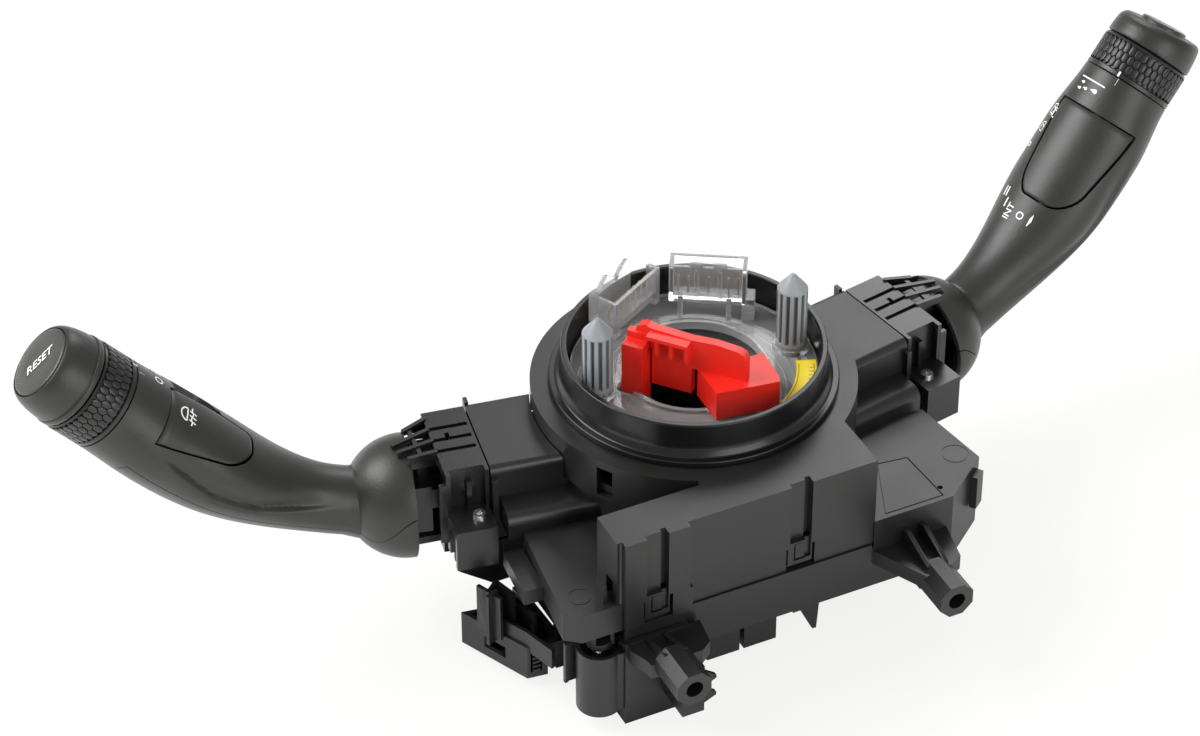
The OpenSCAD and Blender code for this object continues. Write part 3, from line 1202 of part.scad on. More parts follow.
// Transport lock: a wall across the passage with a thumb ledge, a leg at its left and a block at its right
module transport_lock() {
    foot = rotor_top + lock_gap;
    block_top = rotor_top + 12.1;
    wall_top = rotor_top + 24;
    color(lock_red) {
        lock_frame() {
            translate([0, lock_wall, 0]) rotate([90, 0, 0]) linear_extrude(height = lock_wall)
                polygon([[-17.2, foot], [-2.2, foot], [-2.2, block_top - 0.5], [18.2, block_top - 0.5], [18.2, wall_top - 3.4],
                    [17.2, wall_top - 1], [14.8, wall_top], [6.4, wall_top + 0.6], [-2.9, wall_top - 0.2], [-18, wall_top + 0.4],
                    [-19.9, wall_top + 1.3], [-22.6, wall_top], [-24.4, wall_top - 3.6], [-25.6, wall_top - 8.4],
                    [-17.2, wall_top - 8.4]]);
            bar(-18, -2.5, -4, 0.1, wall_top - 2, wall_top - 0.5);
            for (x = [-15, -9.6, -3.9]) bar(x, x + 1.4, -3.2, 0.1, wall_top - 8.6, wall_top - 1.5);
            bar(-26, -18.2, -6.5, 1.5, lock_leg_z, wall_top - 4.5);
            bar(-26, -18.2, -1.5, 1.52, wall_top - 6, wall_top - 1.9);
        }
        prism(lock_box, foot, block_top);
    }
}
lock_red = "#e2231a";

base_housing();
carrier_housing();
front_cover();
clock_spring_case();
case_floor();
side_frame();
cable_comb();
control_board();
loom_connectors();
connector_pins();
frame_screws();
post_screw();
left_switch_frame();
right_switch_frame();
left_detent_plate();
right_detent_plate();
left_contact_board();
right_contact_board();
left_yoke();
right_yoke();
left_cross_pin();
right_cross_pin();
left_lever_core();
right_lever_core();
left_lever_board();
right_lever_board();
left_front_shell();
left_rear_shell();
right_front_shell();
right_rear_shell();
rear_fog_button();
rear_wiper_rocker();
light_selector_ring();
rain_sensor_ring();
left_end_cap();
right_end_cap();
reset_button();
end_button();
left_detent_plunger();
right_detent_plunger();
left_detent_spring();
right_detent_spring();
rotor_disc();
rotor_sleeve();
sensor_drive_gear();
cancel_cam();
sensor_pinion_a();
sensor_pinion_b();
flat_cable();
rear_wheel_socket();
left_wheel_socket();
socket_terminals();
drive_pins();
rotor_label();
transport_lock();
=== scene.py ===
import json
import math
import bpy
from mathutils import Matrix, Vector


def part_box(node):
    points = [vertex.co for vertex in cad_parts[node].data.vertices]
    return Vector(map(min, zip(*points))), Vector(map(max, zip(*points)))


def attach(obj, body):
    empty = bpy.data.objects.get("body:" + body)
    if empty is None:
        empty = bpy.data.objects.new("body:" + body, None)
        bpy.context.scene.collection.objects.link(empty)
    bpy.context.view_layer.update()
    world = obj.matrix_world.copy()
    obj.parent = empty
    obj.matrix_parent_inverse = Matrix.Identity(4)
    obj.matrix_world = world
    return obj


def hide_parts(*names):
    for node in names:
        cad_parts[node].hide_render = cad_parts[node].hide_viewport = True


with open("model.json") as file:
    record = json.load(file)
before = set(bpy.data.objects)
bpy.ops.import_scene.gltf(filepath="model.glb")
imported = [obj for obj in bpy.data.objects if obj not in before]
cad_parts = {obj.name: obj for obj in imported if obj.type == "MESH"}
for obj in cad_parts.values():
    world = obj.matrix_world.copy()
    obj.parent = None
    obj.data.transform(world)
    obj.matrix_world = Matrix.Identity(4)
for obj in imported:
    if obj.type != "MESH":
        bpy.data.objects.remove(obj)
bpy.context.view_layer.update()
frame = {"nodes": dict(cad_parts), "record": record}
nodes = frame["nodes"]
mm = 0.001
print("frame loaded:", len(nodes), "nodes")


# camera where the photograph was taken from, target on the column axis near the ring's rim
view = {"azimuth": -25.89, "elevation": 38.23, "roll": -0.153, "distance": 1.401,
        "target": (-0.03614, 0.00133, 0.096), "lens": 120.77, "sensor": 36, "far": 20}


def placeCamera():
    a, e, r = (math.radians(view[k]) for k in ("azimuth", "elevation", "roll"))
    right = Vector((math.cos(a), math.sin(a), 0))
    up = Vector((-math.sin(a) * math.sin(e), math.cos(a) * math.sin(e), math.cos(e)))
    back = Vector((math.sin(a) * math.cos(e), -math.cos(a) * math.cos(e), math.sin(e)))
    turnedRight = right * math.cos(r) + up * math.sin(r)
    turnedUp = up * math.cos(r) - right * math.sin(r)
    at = Vector(view["target"]) + back * view["distance"]
    bpy.ops.object.camera_add()
    cam = bpy.context.object
    cam.matrix_world = Matrix.Translation(at) @ Matrix((turnedRight, turnedUp, back)).transposed().to_4x4()
    cam.data.lens = view["lens"]
    cam.data.sensor_width = view["sensor"]
    cam.data.clip_end = view["far"]
    bpy.context.scene.camera = cam


placeCamera()


def linear(hexColour):
    parts = [int(hexColour[i:i + 2], 16) / 255 for i in (1, 3, 5)]
    return [p / 12.92 if p <= 0.04045 else ((p + 0.055) / 1.055) ** 2.4 for p in parts] + [1.0]


def addNode(mat, kind, values=None, links=None, **settings):
    node = mat.node_tree.nodes.new(kind)
    for key, value in settings.items():
        setattr(node, key, value)
    for key, value in (values or {}).items():
        node.inputs[key].default_value = value
    for key, source in (links or {}).items():
        mat.node_tree.links.new(source, node.inputs[key])
    return node


def newMaterial(name, **sockets):
    mat = bpy.data.materials.new(name)
    mat.use_nodes = True
    shader = mat.node_tree.nodes["Principled BSDF"]
    for key, value in sockets.items():
        shader.inputs[key.replace("_", " ")].default_value = value
    return mat, shader


def noise(mat, place, scale, detail):
    node = addNode(mat, "ShaderNodeTexNoise", {"Scale": scale, "Detail": detail}, {"Vector": place})
    return node.outputs["Fac"]


def surfaceOf(mat):
    return mat.node_tree.nodes["Material Output"].inputs["Surface"]


# moulded plastic: spark-eroded tool grain about 0.3 mm across, drawn a little coarser so it shows,
# with faint cloudy colour and gloss changes that handling and flow leave
plastic = {"cloudScale": 45.0, "cloudDetail": 3.0, "fineDetail": 2.0, "fineShare": 0.35, "darkEnd": 0.3,
           "lightEnd": 0.7, "bump": 0.5, "gloss": 0.06}


def mouldedPlastic(name, dark, light, rough, grain=0.35, depth=0.04, specular=0.5):
    mat, shader = newMaterial(name, IOR=1.5, Specular_IOR_Level=specular)
    place = addNode(mat, "ShaderNodeTexCoord").outputs["Object"]
    cloud = noise(mat, place, plastic["cloudScale"], plastic["cloudDetail"])
    fine = noise(mat, place, 1 / (grain * mm), plastic["fineDetail"])
    both = addNode(mat, "ShaderNodeMix", {"Factor": plastic["fineShare"]}, {"A": cloud, "B": fine})
    tint = addNode(mat, "ShaderNodeValToRGB", links={"Fac": both.outputs["Result"]})
    tint.color_ramp.elements[0].position = plastic["darkEnd"]
    tint.color_ramp.elements[1].position = plastic["lightEnd"]
    tint.color_ramp.elements[0].color = linear(dark)
    tint.color_ramp.elements[1].color = linear(light)
    gloss = plastic["gloss"]
    spread = addNode(mat, "ShaderNodeMapRange", {"To Min": rough - gloss, "To Max": rough + gloss},
                     {"Value": cloud})
    bump = addNode(mat, "ShaderNodeBump", {"Strength": plastic["bump"], "Distance": depth * mm},
                   {"Height": fine})
    for socket, source in (("Base Color", tint.outputs["Color"]), ("Roughness", spread.outputs["Result"]),
                           ("Normal", bump.outputs["Normal"])):
        mat.node_tree.links.new(source, shader.inputs[socket])
    return mat


# clear moulded polycarbonate: faint flow lines bend what is behind it, and walls seen edge on gather light
clearPart = {"ior": 1.32, "passing": 0.97, "flowScale": 90.0, "flowDetail": 2.0, "flowBump": 0.25,
             "flowDepth": 0.15, "edgeBlend": 0.35, "milk": "#f4f6f6", "milkFace": 0.03, "milkEdge": 0.34}


def clearPolycarbonate(name, tint, rough):
    mat, shader = newMaterial(name, IOR=clearPart["ior"], Transmission_Weight=clearPart["passing"],
                              Roughness=rough, Base_Color=linear(tint))
    place = addNode(mat, "ShaderNodeTexCoord").outputs["Object"]
    flow = noise(mat, place, clearPart["flowScale"], clearPart["flowDetail"])
    bump = addNode(mat, "ShaderNodeBump",
                   {"Strength": clearPart["flowBump"], "Distance": clearPart["flowDepth"] * mm},
                   {"Height": flow})
    mat.node_tree.links.new(bump.outputs["Normal"], shader.inputs["Normal"])
    edge = addNode(mat, "ShaderNodeLayerWeight", {"Blend": clearPart["edgeBlend"]})
    milk = addNode(mat, "ShaderNodeBsdfDiffuse", {"Color": linear(clearPart["milk"])})
    share = addNode(mat, "ShaderNodeMapRange",
                    {"To Min": clearPart["milkFace"], "To Max": clearPart["milkEdge"]},
                    {"Value": edge.outputs["Facing"]})
    mixed = addNode(mat, "ShaderNodeMixShader",
                    links={0: share.outputs["Result"], 1: shader.outputs[0], 2: milk.outputs[0]})
    mat.node_tree.links.new(mixed.outputs[0], surfaceOf(mat))
    return mat


# drawn or stamped metal: fine lines that break up its glints
metal = {"lineScale": 1400.0, "lineDetail": 2.0, "glossier": 0.06, "duller": 0.08}


def drawnMetal(name, dark, light, rough):
    mat, shader = newMaterial(name, Metallic=1.0)
    place = addNode(mat, "ShaderNodeTexCoord").outputs["Object"]
    lines = noise(mat, place, metal["lineScale"], metal["lineDetail"])
    tint = addNode(mat, "ShaderNodeValToRGB", links={"Fac": lines})
    tint.color_ramp.elements[0].color = linear(dark)
    tint.color_ramp.elements[1].color = linear(light)
    spread = addNode(mat, "ShaderNodeMapRange",
                     {"To Min": rough - metal["glossier"], "To Max": rough + metal["duller"]},
                     {"Value": lines})
    mat.node_tree.links.new(tint.outputs["Color"], shader.inputs["Base Color"])
    mat.node_tree.links.new(spread.outputs["Result"], shader.inputs["Roughness"])
    return mat


finish = {
    # the housings' soft even grey-black with a dull sheen
    "housingAbs": mouldedPlastic("black ABS, eroded grain", "#141414", "#1c1c1b", 0.36),
    # a shade darker and glossier, as fibres at the surface leave it
    "framePolyamide": mouldedPlastic("glass filled polyamide, smooth tool", "#121212", "#1a1a19", 0.28,
                                     grain=0.6, depth=0.04),
    # the deepest black, with a narrow bright line along the ring's rim
    "ringAbs": mouldedPlastic("black ABS, satin tool", "#0c0c0c", "#121211", 0.26,
                              grain=0.3, depth=0.02, specular=0.4),
    # the levers' warm dark grey, with a grain that can be seen
    "leverAbs": mouldedPlastic("dark grey ABS, fine lever grain", "#1e1e1d", "#2a2a28", 0.4,
                               grain=0.6, depth=0.16),
    # the buttons' lighter grey, so that they stand out from the caps
    "buttonAbs": mouldedPlastic("dark grey ABS, satin button", "#2b2b2a", "#383836", 0.34,
                                grain=0.55, depth=0.13),
    # black cells with small glints on their edges
    "knurlAbs": mouldedPlastic("black ABS, knurled ring", "#131312", "#1c1c1b", 0.36, grain=0.3, depth=0.02),
    # matt light grey of the drive pins
    "greyPolyamide": mouldedPlastic("light grey polyamide", "#7e8285", "#92969a", 0.42,
                                    grain=0.4, depth=0.04),
    # waxy off-white of sliding pieces
    "whiteAcetal": mouldedPlastic("natural acetal", "#cfcfc6", "#e0dfd8", 0.35, grain=0.5, depth=0.02),
    # the lock's bright signal red with a wax-like sheen
    "redAcetal": mouldedPlastic("red acetal", "#d3190f", "#e62b1c", 0.36, grain=0.5, depth=0.03),
    # smooth printed film
    "labelFilm": mouldedPlastic("yellow label film", "#ecd010", "#f4dc2a", 0.4, grain=0.8, depth=0.01),
    # pale grey ribbon
    "cableFilm": mouldedPlastic("flat cable film", "#c2c4c1", "#d2d4d0", 0.3, grain=0.8, depth=0.01),
    # green lacquer
    "circuitBoard": mouldedPlastic("solder mask board", "#225636", "#2f6b45", 0.35, grain=0.8, depth=0.02),
    # opaque matt white of the marks
    "padWhite": mouldedPlastic("white pad print", "#e8e8e6", "#f4f4f2", 0.5, grain=0.3, depth=0.01),
    # thin black print
    "labelInk": mouldedPlastic("label print", "#1b1a15", "#26241d", 0.5, grain=0.3, depth=0.01),
    # glass-clear moulding with whitish edges
    "clear": clearPolycarbonate("clear polycarbonate", "#fbfcfc", 0.05),
    # bright cool metal
    "steel": drawnMetal("zinc plated steel", "#b4b7b9", "#d6d8d9", 0.26),
    # warm metal of the contacts
    "brass": drawnMetal("tinned brass", "#a8834a", "#c39e5c", 0.3),
}

slotFinish = {"black_abs": "housingAbs", "frame_pa": "framePolyamide", "lever_abs": "leverAbs",
              "button_abs": "buttonAbs", "grey_pa": "greyPolyamide", "white_pom": "whiteAcetal",
              "clear_pc": "clear", "lock_red": "redAcetal", "label_yellow": "labelFilm",
              "cable_film": "cableFilm", "board": "circuitBoard", "steel": "steel", "brass": "brass"}
for part in frame["record"]["subparts"]:
    nodes[part["node"]].data.materials.clear()
    nodes[part["node"]].data.materials.append(finish[slotFinish[part["material_slot"]]])
nodes["clock_spring_case"].data.materials[0] = finish["ringAbs"]
for name in ("left_yoke", "right_yoke", "left_lever_core", "right_lever_core"):
    nodes[name].data.materials[0] = finish["framePolyamide"]
print("materials made:", len(finish))

bodyOf = {name: body for body, names in frame["record"]["behaviour"]["bodies"].items() for name in names}


def deselect():
    if bpy.context.mode != "OBJECT":
        bpy.ops.object.mode_set(mode="OBJECT")
    bpy.ops.object.select_all(action="DESELECT")


def makeActive(obj):
    deselect()
    obj.select_set(True)
    bpy.context.view_layer.objects.active = obj


def applyAll(obj):
    makeActive(obj)
    for mod in list(obj.modifiers):
        bpy.ops.object.modifier_apply(modifier=mod.name)


def editAll(obj):
    makeActive(obj)
    bpy.ops.object.mode_set(mode="EDIT")
    bpy.ops.mesh.select_all(action="SELECT")


def leaveEdit():
    bpy.ops.object.mode_set(mode="OBJECT")


def flipFaces(obj):
    editAll(obj)
    bpy.ops.mesh.flip_normals()
    leaveEdit()


def addEdgeRadius(obj, width, angle):
    mod = obj.modifiers.new("edge radius", "BEVEL")
    mod.width = width * mm
    mod.segments = 2
    mod.limit_method = "ANGLE"
    mod.angle_limit = math.radians(angle)
    applyAll(obj)


# a CAD node's own mesh, merged, its edges rounded and its flats shaded evenly; width in millimetres
edgeRule = {"merge": 0.002, "flatter": 0.5, "sharper": 32, "smooth": 40}


def edged(nodeName, width):
    source = nodes[nodeName]
    obj = source.copy()
    obj.data = source.data.copy()
    obj.name = nodeName + "_moulded"
    bpy.context.scene.collection.objects.link(obj)
    editAll(obj)
    bpy.ops.mesh.remove_doubles(threshold=edgeRule["merge"] * mm)
    bpy.ops.mesh.dissolve_limited(angle_limit=math.radians(edgeRule["flatter"]))
    leaveEdit()
    addEdgeRadius(obj, width, edgeRule["sharper"])
    bpy.ops.object.shade_smooth_by_angle(angle=math.radians(edgeRule["smooth"]))
    even = obj.modifiers.new("even flats", "WEIGHTED_NORMAL")
    even.keep_sharp = True
    applyAll(obj)
    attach(obj, bodyOf[nodeName])
    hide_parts(nodeName)


edges = {"base_housing": 0.5, "carrier_housing": 0.5, "front_cover": 0.6, "clock_spring_case": 0.5,
         "left_switch_frame": 0.3, "right_switch_frame": 0.3, "side_frame": 0.4, "cable_comb": 0.2,
         "transport_lock": 0.9, "rear_wheel_socket": 0.25, "left_wheel_socket": 0.25, "rotor_disc": 0.3,
         "loom_connectors": 0.3, "rotor_sleeve": 0.3}
for name, width in edges.items():
    edged(name, width)
print("edged copies made:", len(edges))

# the levers' form, the same figures as the solids have, in millimetres and degrees; a run says where along
# the lever, from 0 at its foot to 1 at the knob, its half width or height starts to change, and over how far
lever = {"blockAngle": 10, "pivotOut": 105.7, "pivotUp": 50.7, "sweep": 4.4, "reach": 101.5, "rise": 62.5,
         "lift": 4, "knobSlope": 45.4, "knobPull": 0.2842, "footPull": (0.42, -0.075),
         "neck": 12.4, "neckFlat": 0.3, "bellyW": 20.3, "bellyH": 17.4, "knob": 17.2, "dome": 22.2,
         "wideRuns": ((0.2, 0.42), (0.76, 0.24)), "highRuns": ((0.22, 0.5), (0.8, 0.2)),
         "wall": 2.0, "seamGap": 0.45, "neckT": 0.175, "collarT": 0.86, "length": 118}


def ease(x):
    c = min(1, max(0, x))
    return c * c * (3 - 2 * c)


def along(t, run):
    return ease((t - run[0]) / run[1])


def leverMatrix(side):
    flip = Matrix.Diagonal((side, 1, 1, 1))
    out = Matrix.Rotation(math.radians(lever["blockAngle"]), 4, "Z")
    pivot = Matrix.Translation(Vector((lever["pivotOut"], 0, lever["pivotUp"])) * mm)
    return flip @ out @ pivot @ Matrix.Rotation(math.radians(lever["sweep"]), 4, "Z") @ Matrix.Scale(mm, 4)


def knobMatrix(side):
    end = Matrix.Translation((lever["reach"], 0, lever["rise"] + side * lever["lift"]))
    return leverMatrix(side) @ end @ Matrix.Rotation(math.radians(90 - lever["knobSlope"]), 4, "Y")


def spine(side, t):
    slope = math.radians(lever["knobSlope"])
    pull = lever["knobPull"] * lever["reach"]
    one = (lever["footPull"][0] * lever["reach"], lever["footPull"][1] * lever["rise"])
    two = (lever["reach"] - pull * math.cos(slope), lever["rise"] - pull * math.sin(slope))
    three = (lever["reach"], lever["rise"])
    return [3 * (1 - t) ** 2 * t * one[k] + 3 * (1 - t) * t * t * two[k] + t ** 3 * three[k]
            + (side * lever["lift"] * ease(t) if k else 0) for k in (0, 1)]


tinyStep = 0.001


def stalkStation(side, t):
    x, z = spine(side, t)
    x0, z0 = spine(side, t - tinyStep)
    x1, z1 = spine(side, t + tinyStep)
    wider, narrower = lever["wideRuns"]
    w = (lever["neck"] + (lever["bellyW"] - lever["neck"]) * along(t, wider)
         - (lever["bellyW"] - lever["knob"]) * along(t, narrower))
    higher, lower = lever["highRuns"]
    low = lever["neck"] - lever["neckFlat"]
    h = (low + (lever["bellyH"] - low) * along(t, higher)
         - (lever["bellyH"] - lever["knob"]) * along(t, lower))
    return {"x": x, "z": z, "tilt": math.atan2(z1 - z0, x1 - x0), "w": w, "h": h, "seam": 110 + 6 * t, "t": t}


# the round shroud, s running from its open foot to the neck
def domeStation(s):
    a = math.radians(93 - 57 * s)
    r = lever["dome"]
    return {"x": r * math.cos(a), "z": 0, "tilt": 0, "w": r * math.sin(a), "h": r * math.sin(a),
            "seam": 75 + 35 * ease(s * 1.2), "t": 0}


# the pressed line along a lever's side, as (place, angle) points, and its depth in millimetres
creases = {-1: ((0.185, 53), (0.44, 86), (0.58, 90), (0.8, 75), (0.84, 72)),
           1: ((0.185, 70), (0.33, 87), (0.53, 107), (0.79, 86), (0.84, 80))}
creaseSize = {-1: 2.3, 1: 1.2}


def creaseDepth(side, t, a):
    line = creases[side]
    if t <= line[0][0] or t >= line[-1][0]:
        return 0
    for (t0, a0), (t1, a1) in zip(line, line[1:]):
        if t0 <= t <= t1:
            middle = a0 + (a1 - a0) * (t - t0) / (t1 - t0)
    fade = ease((t - line[0][0]) / 0.2) * ease((line[-1][0] - t) / 0.14)
    off = (a - middle) / 9
    return creaseSize[side] * fade * (math.exp(-off * off / 4.5) if off < 0 else math.exp(-off * off * 3))


def skinPoint(side, station, angle, depth=0.0):
    a = math.radians(angle)
    inward = depth + creaseDepth(side, station["t"], angle)
    up = (station["h"] - inward) * math.cos(a)
    return (station["x"] - up * math.sin(station["tilt"]), -(station["w"] - inward) * math.sin(a),
            station["z"] + up * math.cos(station["tilt"]))


def meshPiece(name, points, faces, matrix, paint):
    mesh = bpy.data.meshes.new(name)
    mesh.from_pydata([matrix @ Vector(p) for p in points], [], faces)
    obj = bpy.data.objects.new(name, mesh)
    bpy.context.scene.collection.objects.link(obj)
    obj.data.materials.append(finish[paint])
    editAll(obj)
    bpy.ops.mesh.normals_make_consistent(inside=False)
    leaveEdit()
    return obj


# closed wall between an outer and an inner strip of each station
def wallPiece(name, side, stations, spans, depths, steps, paint, even=True):
    points = []
    widest = max(high for low, high in spans)
    for station, (low, high) in zip(stations, spans):
        angles = [low + (high - low) * k / steps for k in range(steps + 1)]
        if not even:  # the same angles all along, held back at the edges
            angles = [min(high, max(low, widest * (2 * k / steps - 1))) for k in range(steps + 1)]
        points += [skinPoint(side, station, a, depths[0](station, a)) for a in angles]
        points += [skinPoint(side, station, a, depths[1](station, a)) for a in reversed(angles)]
    loop = 2 * (steps + 1)
    faces = []
    for i in range(len(stations) - 1):
        for j in range(loop):
            k = (j + 1) % loop
            faces.append((i * loop + j, (i + 1) * loop + j, (i + 1) * loop + k, i * loop + k))
    for base in (0, (len(stations) - 1) * loop):
        for j in range(steps):
            faces.append((base + j, base + j + 1, base + loop - 2 - j, base + loop - 1 - j))
    obj = meshPiece(name, points, faces, leverMatrix(side), paint)
    if not even:
        editAll(obj)
        bpy.ops.mesh.remove_doubles(threshold=edgeRule["merge"] * mm)
        bpy.ops.mesh.dissolve_degenerate(threshold=edgeRule["merge"] / 2 * mm)
        bpy.ops.mesh.normals_make_consistent(inside=False)
        leaveEdit()
    return obj


def flat(depth):
    return lambda station, angle: depth


# how far a quarter circle has fallen away, from none at start to nearly all at s = 1
def rounding(s, start):
    part = min(1, max(0, (s - start) / (1 - start)))
    return 1 - math.sqrt(1 - part * part * 0.998)


# outlines of the panels on the levers: place from t0 to t1, and the angles there with s running 1 to 0
panels = {
    "fog": (0.53, 0.845, lambda s: -3 - 5 * math.sin(math.radians(160 * s)) + 10 * rounding(s, 0.93),
            lambda s: 68.6 - 27 * s - 26 * rounding(s, 0.72)),
    "slot": (0.64, 0.83, lambda s: -31 + 14 * ease((s - 0.6) / 0.4), lambda s: -2),
    "rocker": (0.54, 0.85, lambda s: -36 + 16 * s + 16 * rounding(s, 0.75),
               lambda s: 73 - 24 * s - 30 * rounding(s, 0.72)),
}


# a panel's skin falls away in a small radius along its border
crownShare = 0.55


def crownDepth(ts, spans, top, radius):
    across = {t: span for t, span in zip(ts, spans)}

    def depth(station, angle):
        low, high = across[station["t"]]
        arcLength = math.radians(1) * (station["w"] + station["h"]) / 2
        edge = min((angle - low) * arcLength, (high - angle) * arcLength,
                   (station["t"] - ts[0]) * lever["length"], (ts[-1] - station["t"]) * lever["length"])
        part = min(1, max(0, edge / radius))
        return top + radius * crownShare * (1 - math.sqrt(max(0, 1 - (1 - part) ** 2)))
    return depth


# a panel, or the cutter for its opening when it is grown: by place at both ends, by degrees at both sides,
# and by more degrees towards the knob
def panelPiece(name, side, panel, top, bottom, growT=0.0, growA=0.0, growEnd=0.0, count=30, crown=0.0):
    t0, t1, low, high = panels[panel]
    steps = [1 - math.cos(math.pi / 2 * i / count) for i in range(count + 1)]  # closer rows at the round end
    ts = [t0 - growT + (t1 - t0 + 2 * growT) * k for k in steps]
    spans = []
    for k in steps:
        s = 1 - k
        more = growA + growEnd * k
        spans.append((low(s) - more, high(s) + more))
    stations = [stalkStation(side, t) for t in ts]
    outer = crownDepth(ts, spans, top, crown) if crown else flat(top)
    return wallPiece(name, side, stations, spans, (outer, flat(bottom)), count, "leverAbs")


def cutWith(obj, cutter, operation="DIFFERENCE"):
    mod = obj.modifiers.new("cut", "BOOLEAN")
    mod.operation = operation
    mod.solver = "EXACT"
    mod.object = cutter
    applyAll(obj)
    bpy.data.objects.remove(cutter, do_unlink=True)


# the shroud's notch on its upper side, open towards the switch block
notch = {"reach": 5.3, "wide": 16, "high": 12, "shift": 2, "sunk": 1}


def notchBox(side):
    bpy.ops.mesh.primitive_cube_add(size=1)
    box = bpy.context.object
    long = lever["dome"] + notch["reach"]
    turn = Matrix.Rotation(math.radians(-lever["sweep"]), 4, "Z")
    place = Matrix.Translation((notch["reach"] - long / 2, notch["shift"], lever["dome"] - notch["sunk"]))
    size = Matrix.Diagonal((long, notch["wide"], notch["high"], 1))
    box.data.transform(leverMatrix(side) @ turn @ place @ size)
    return box


def finishPiece(obj, body, slot, *replaced, width=0.25, smooth=38):
    if width:
        addEdgeRadius(obj, width, 35)
    makeActive(obj)
    bpy.ops.object.shade_smooth_by_angle(angle=math.radians(smooth))
    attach(obj, body)
    for name in replaced:
        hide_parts(name)


# rows of faces along the shroud, the lever and its collar, and faces round each shell
shellDetail = {"dome": 22, "stalk": 64, "collar": 10, "around": 72, "front": 144,
               "nextRow": 0.002, "tip": 0.998}


def leverShell(side):
    word = "left" if side < 0 else "right"
    count = shellDetail["dome"]
    stations = [domeStation(i / count) for i in range(count + 1)]
    first, last = lever["neckT"], lever["collarT"]
    count = shellDetail["stalk"]
    stations += [stalkStation(side, first + (last - first) * i / count) for i in range(count + 1)]
    gap = lever["seamGap"]
    spans = [(s["seam"] + gap, 360 - s["seam"] - gap) for s in stations]
    depths = (lambda s, a: -creaseDepth(side, s["t"], a), flat(lever["wall"]))
    rear = wallPiece(word + "_rear_skin", side, stations, spans, depths, shellDetail["around"], "leverAbs")
    finishPiece(rear, word + "_lever", "lever_abs", word + "_rear_shell")
    count = shellDetail["collar"]
    for i in range(count + 1):
        s = stalkStation(side, last + shellDetail["nextRow"] + (shellDetail["tip"] - last) * i / count)
        s["seam"] = 180
        stations.append(s)
    spans = [(gap - s["seam"], s["seam"] - gap) for s in stations]
    front = wallPiece(word + "_front_skin", side, stations, spans, (flat(0), flat(lever["wall"])),
                      shellDetail["front"], "leverAbs", even=False)
    if side < 0:
        cutWith(front, panelPiece("pocket", side, "slot", 1.8, 5.6, growT=0.01, growA=2.5), "UNION")
        cutWith(front, panelPiece("cutter", side, "fog", -3, 4, growT=0.0055, growA=2.0, count=44))
        cutWith(front, panelPiece("cutter", side, "slot", -3, 4.6))
    else:
        cutWith(front, panelPiece("cutter", side, "rocker", -3, 4,
                                  growT=0.0045, growA=1.4, growEnd=2.0, count=44))
    cutWith(front, notchBox(side))
    finishPiece(front, word + "_lever", "lever_abs", word + "_front_shell", width=0.2, smooth=30)


for side in (-1, 1):
    leverShell(side)
for name, side, panel, node in (("fog_lamp_panel", -1, "fog", "rear_fog_button"),
                                ("rear_wiper_panel", 1, "rocker", "rear_wiper_rocker")):
    piece = panelPiece(name, side, panel, -0.15, 2.0, count=44, crown=1.1)
    finishPiece(piece, bodyOf[node], "lever_abs", node, width=0)
print("lever shells and panels made")


# a turned form: a circle is drawn out ring by ring along a profile of (radius, height) in millimetres
def turned(name, profile, paint, sides=96):
    deselect()
    r0, z0 = profile[0]
    bpy.ops.mesh.primitive_circle_add(vertices=sides, radius=r0 * mm, location=(0, 0, 0))
    obj = bpy.context.object
    obj.name = name
    editAll(obj)
    bpy.ops.transform.translate(value=(0, 0, z0 * mm))
    was, height = r0, z0
    for r, z in profile[1:]:
        bpy.ops.mesh.extrude_edges_move()
        bpy.ops.transform.resize(value=(r / was, r / was, 1), center_override=(0, 0, height * mm))
        bpy.ops.transform.translate(value=(0, 0, (z - height) * mm))
        was, height = r, z
    bpy.ops.mesh.select_all(action="SELECT")
    bpy.ops.mesh.remove_doubles(threshold=0.003 * mm)
    bpy.ops.mesh.normals_make_consistent(inside=False)
    leaveEdit()
    obj.data.materials.append(finish[paint])
    return obj


def copyOf(obj, matrix):
    twin = obj.copy()
    twin.data = obj.data.copy()
    bpy.context.scene.collection.objects.link(twin)
    twin.data.transform(matrix)
    return twin


def joined(pieces, name):
    makeActive(pieces[0])
    for piece in pieces[1:]:
        piece.select_set(True)
    bpy.ops.object.join()
    pieces[0].name = name
    return pieces[0]


# puts a piece in its place, and turns its faces round where the place is mirrored
def seat(obj, matrix):
    obj.data.transform(matrix)
    if matrix.determinant() < 0:
        flipFaces(obj)


# the ring: rim, groove, and three staggered rows of raised six-sided cells
ring = {"inner": 14.2, "rim": 17.2, "groove": 16.3, "foot": 0.35, "top": 14.25,
        "grooveFrom": 2.35, "grooveTo": 12.9,
        "cellTop": 17.15, "cellLong": 4.4, "cellWide": 2.25, "cellHigh": 1.2, "cellEdge": 0.28,
        "around": 42, "rows": 3, "rowPitch": 3.3, "firstRow": 4.5}


def knurlCell():
    deselect()
    bpy.ops.mesh.primitive_cylinder_add(vertices=6, radius=0.5 * mm, depth=ring["cellHigh"] * mm,
                                        end_fill_type="NGON")
    cell = bpy.context.object
    editAll(cell)
    acrossFlats = math.cos(math.pi / 6)
    bpy.ops.transform.resize(value=(ring["cellWide"] / acrossFlats, ring["cellLong"], 1))
    leaveEdit()
    for face in cell.data.polygons:  # only the outer face is chosen, for its soft border
        face.select = face.normal.z > 0.9
    for edge in cell.data.edges:
        edge.select = False
    for vert in cell.data.vertices:
        vert.select = vert.co.z > 0
    bpy.ops.object.mode_set(mode="EDIT")
    bpy.ops.mesh.bevel(offset=ring["cellEdge"] * mm, segments=2)
    leaveEdit()
    cell.data.materials.append(finish["knurlAbs"])
    return cell


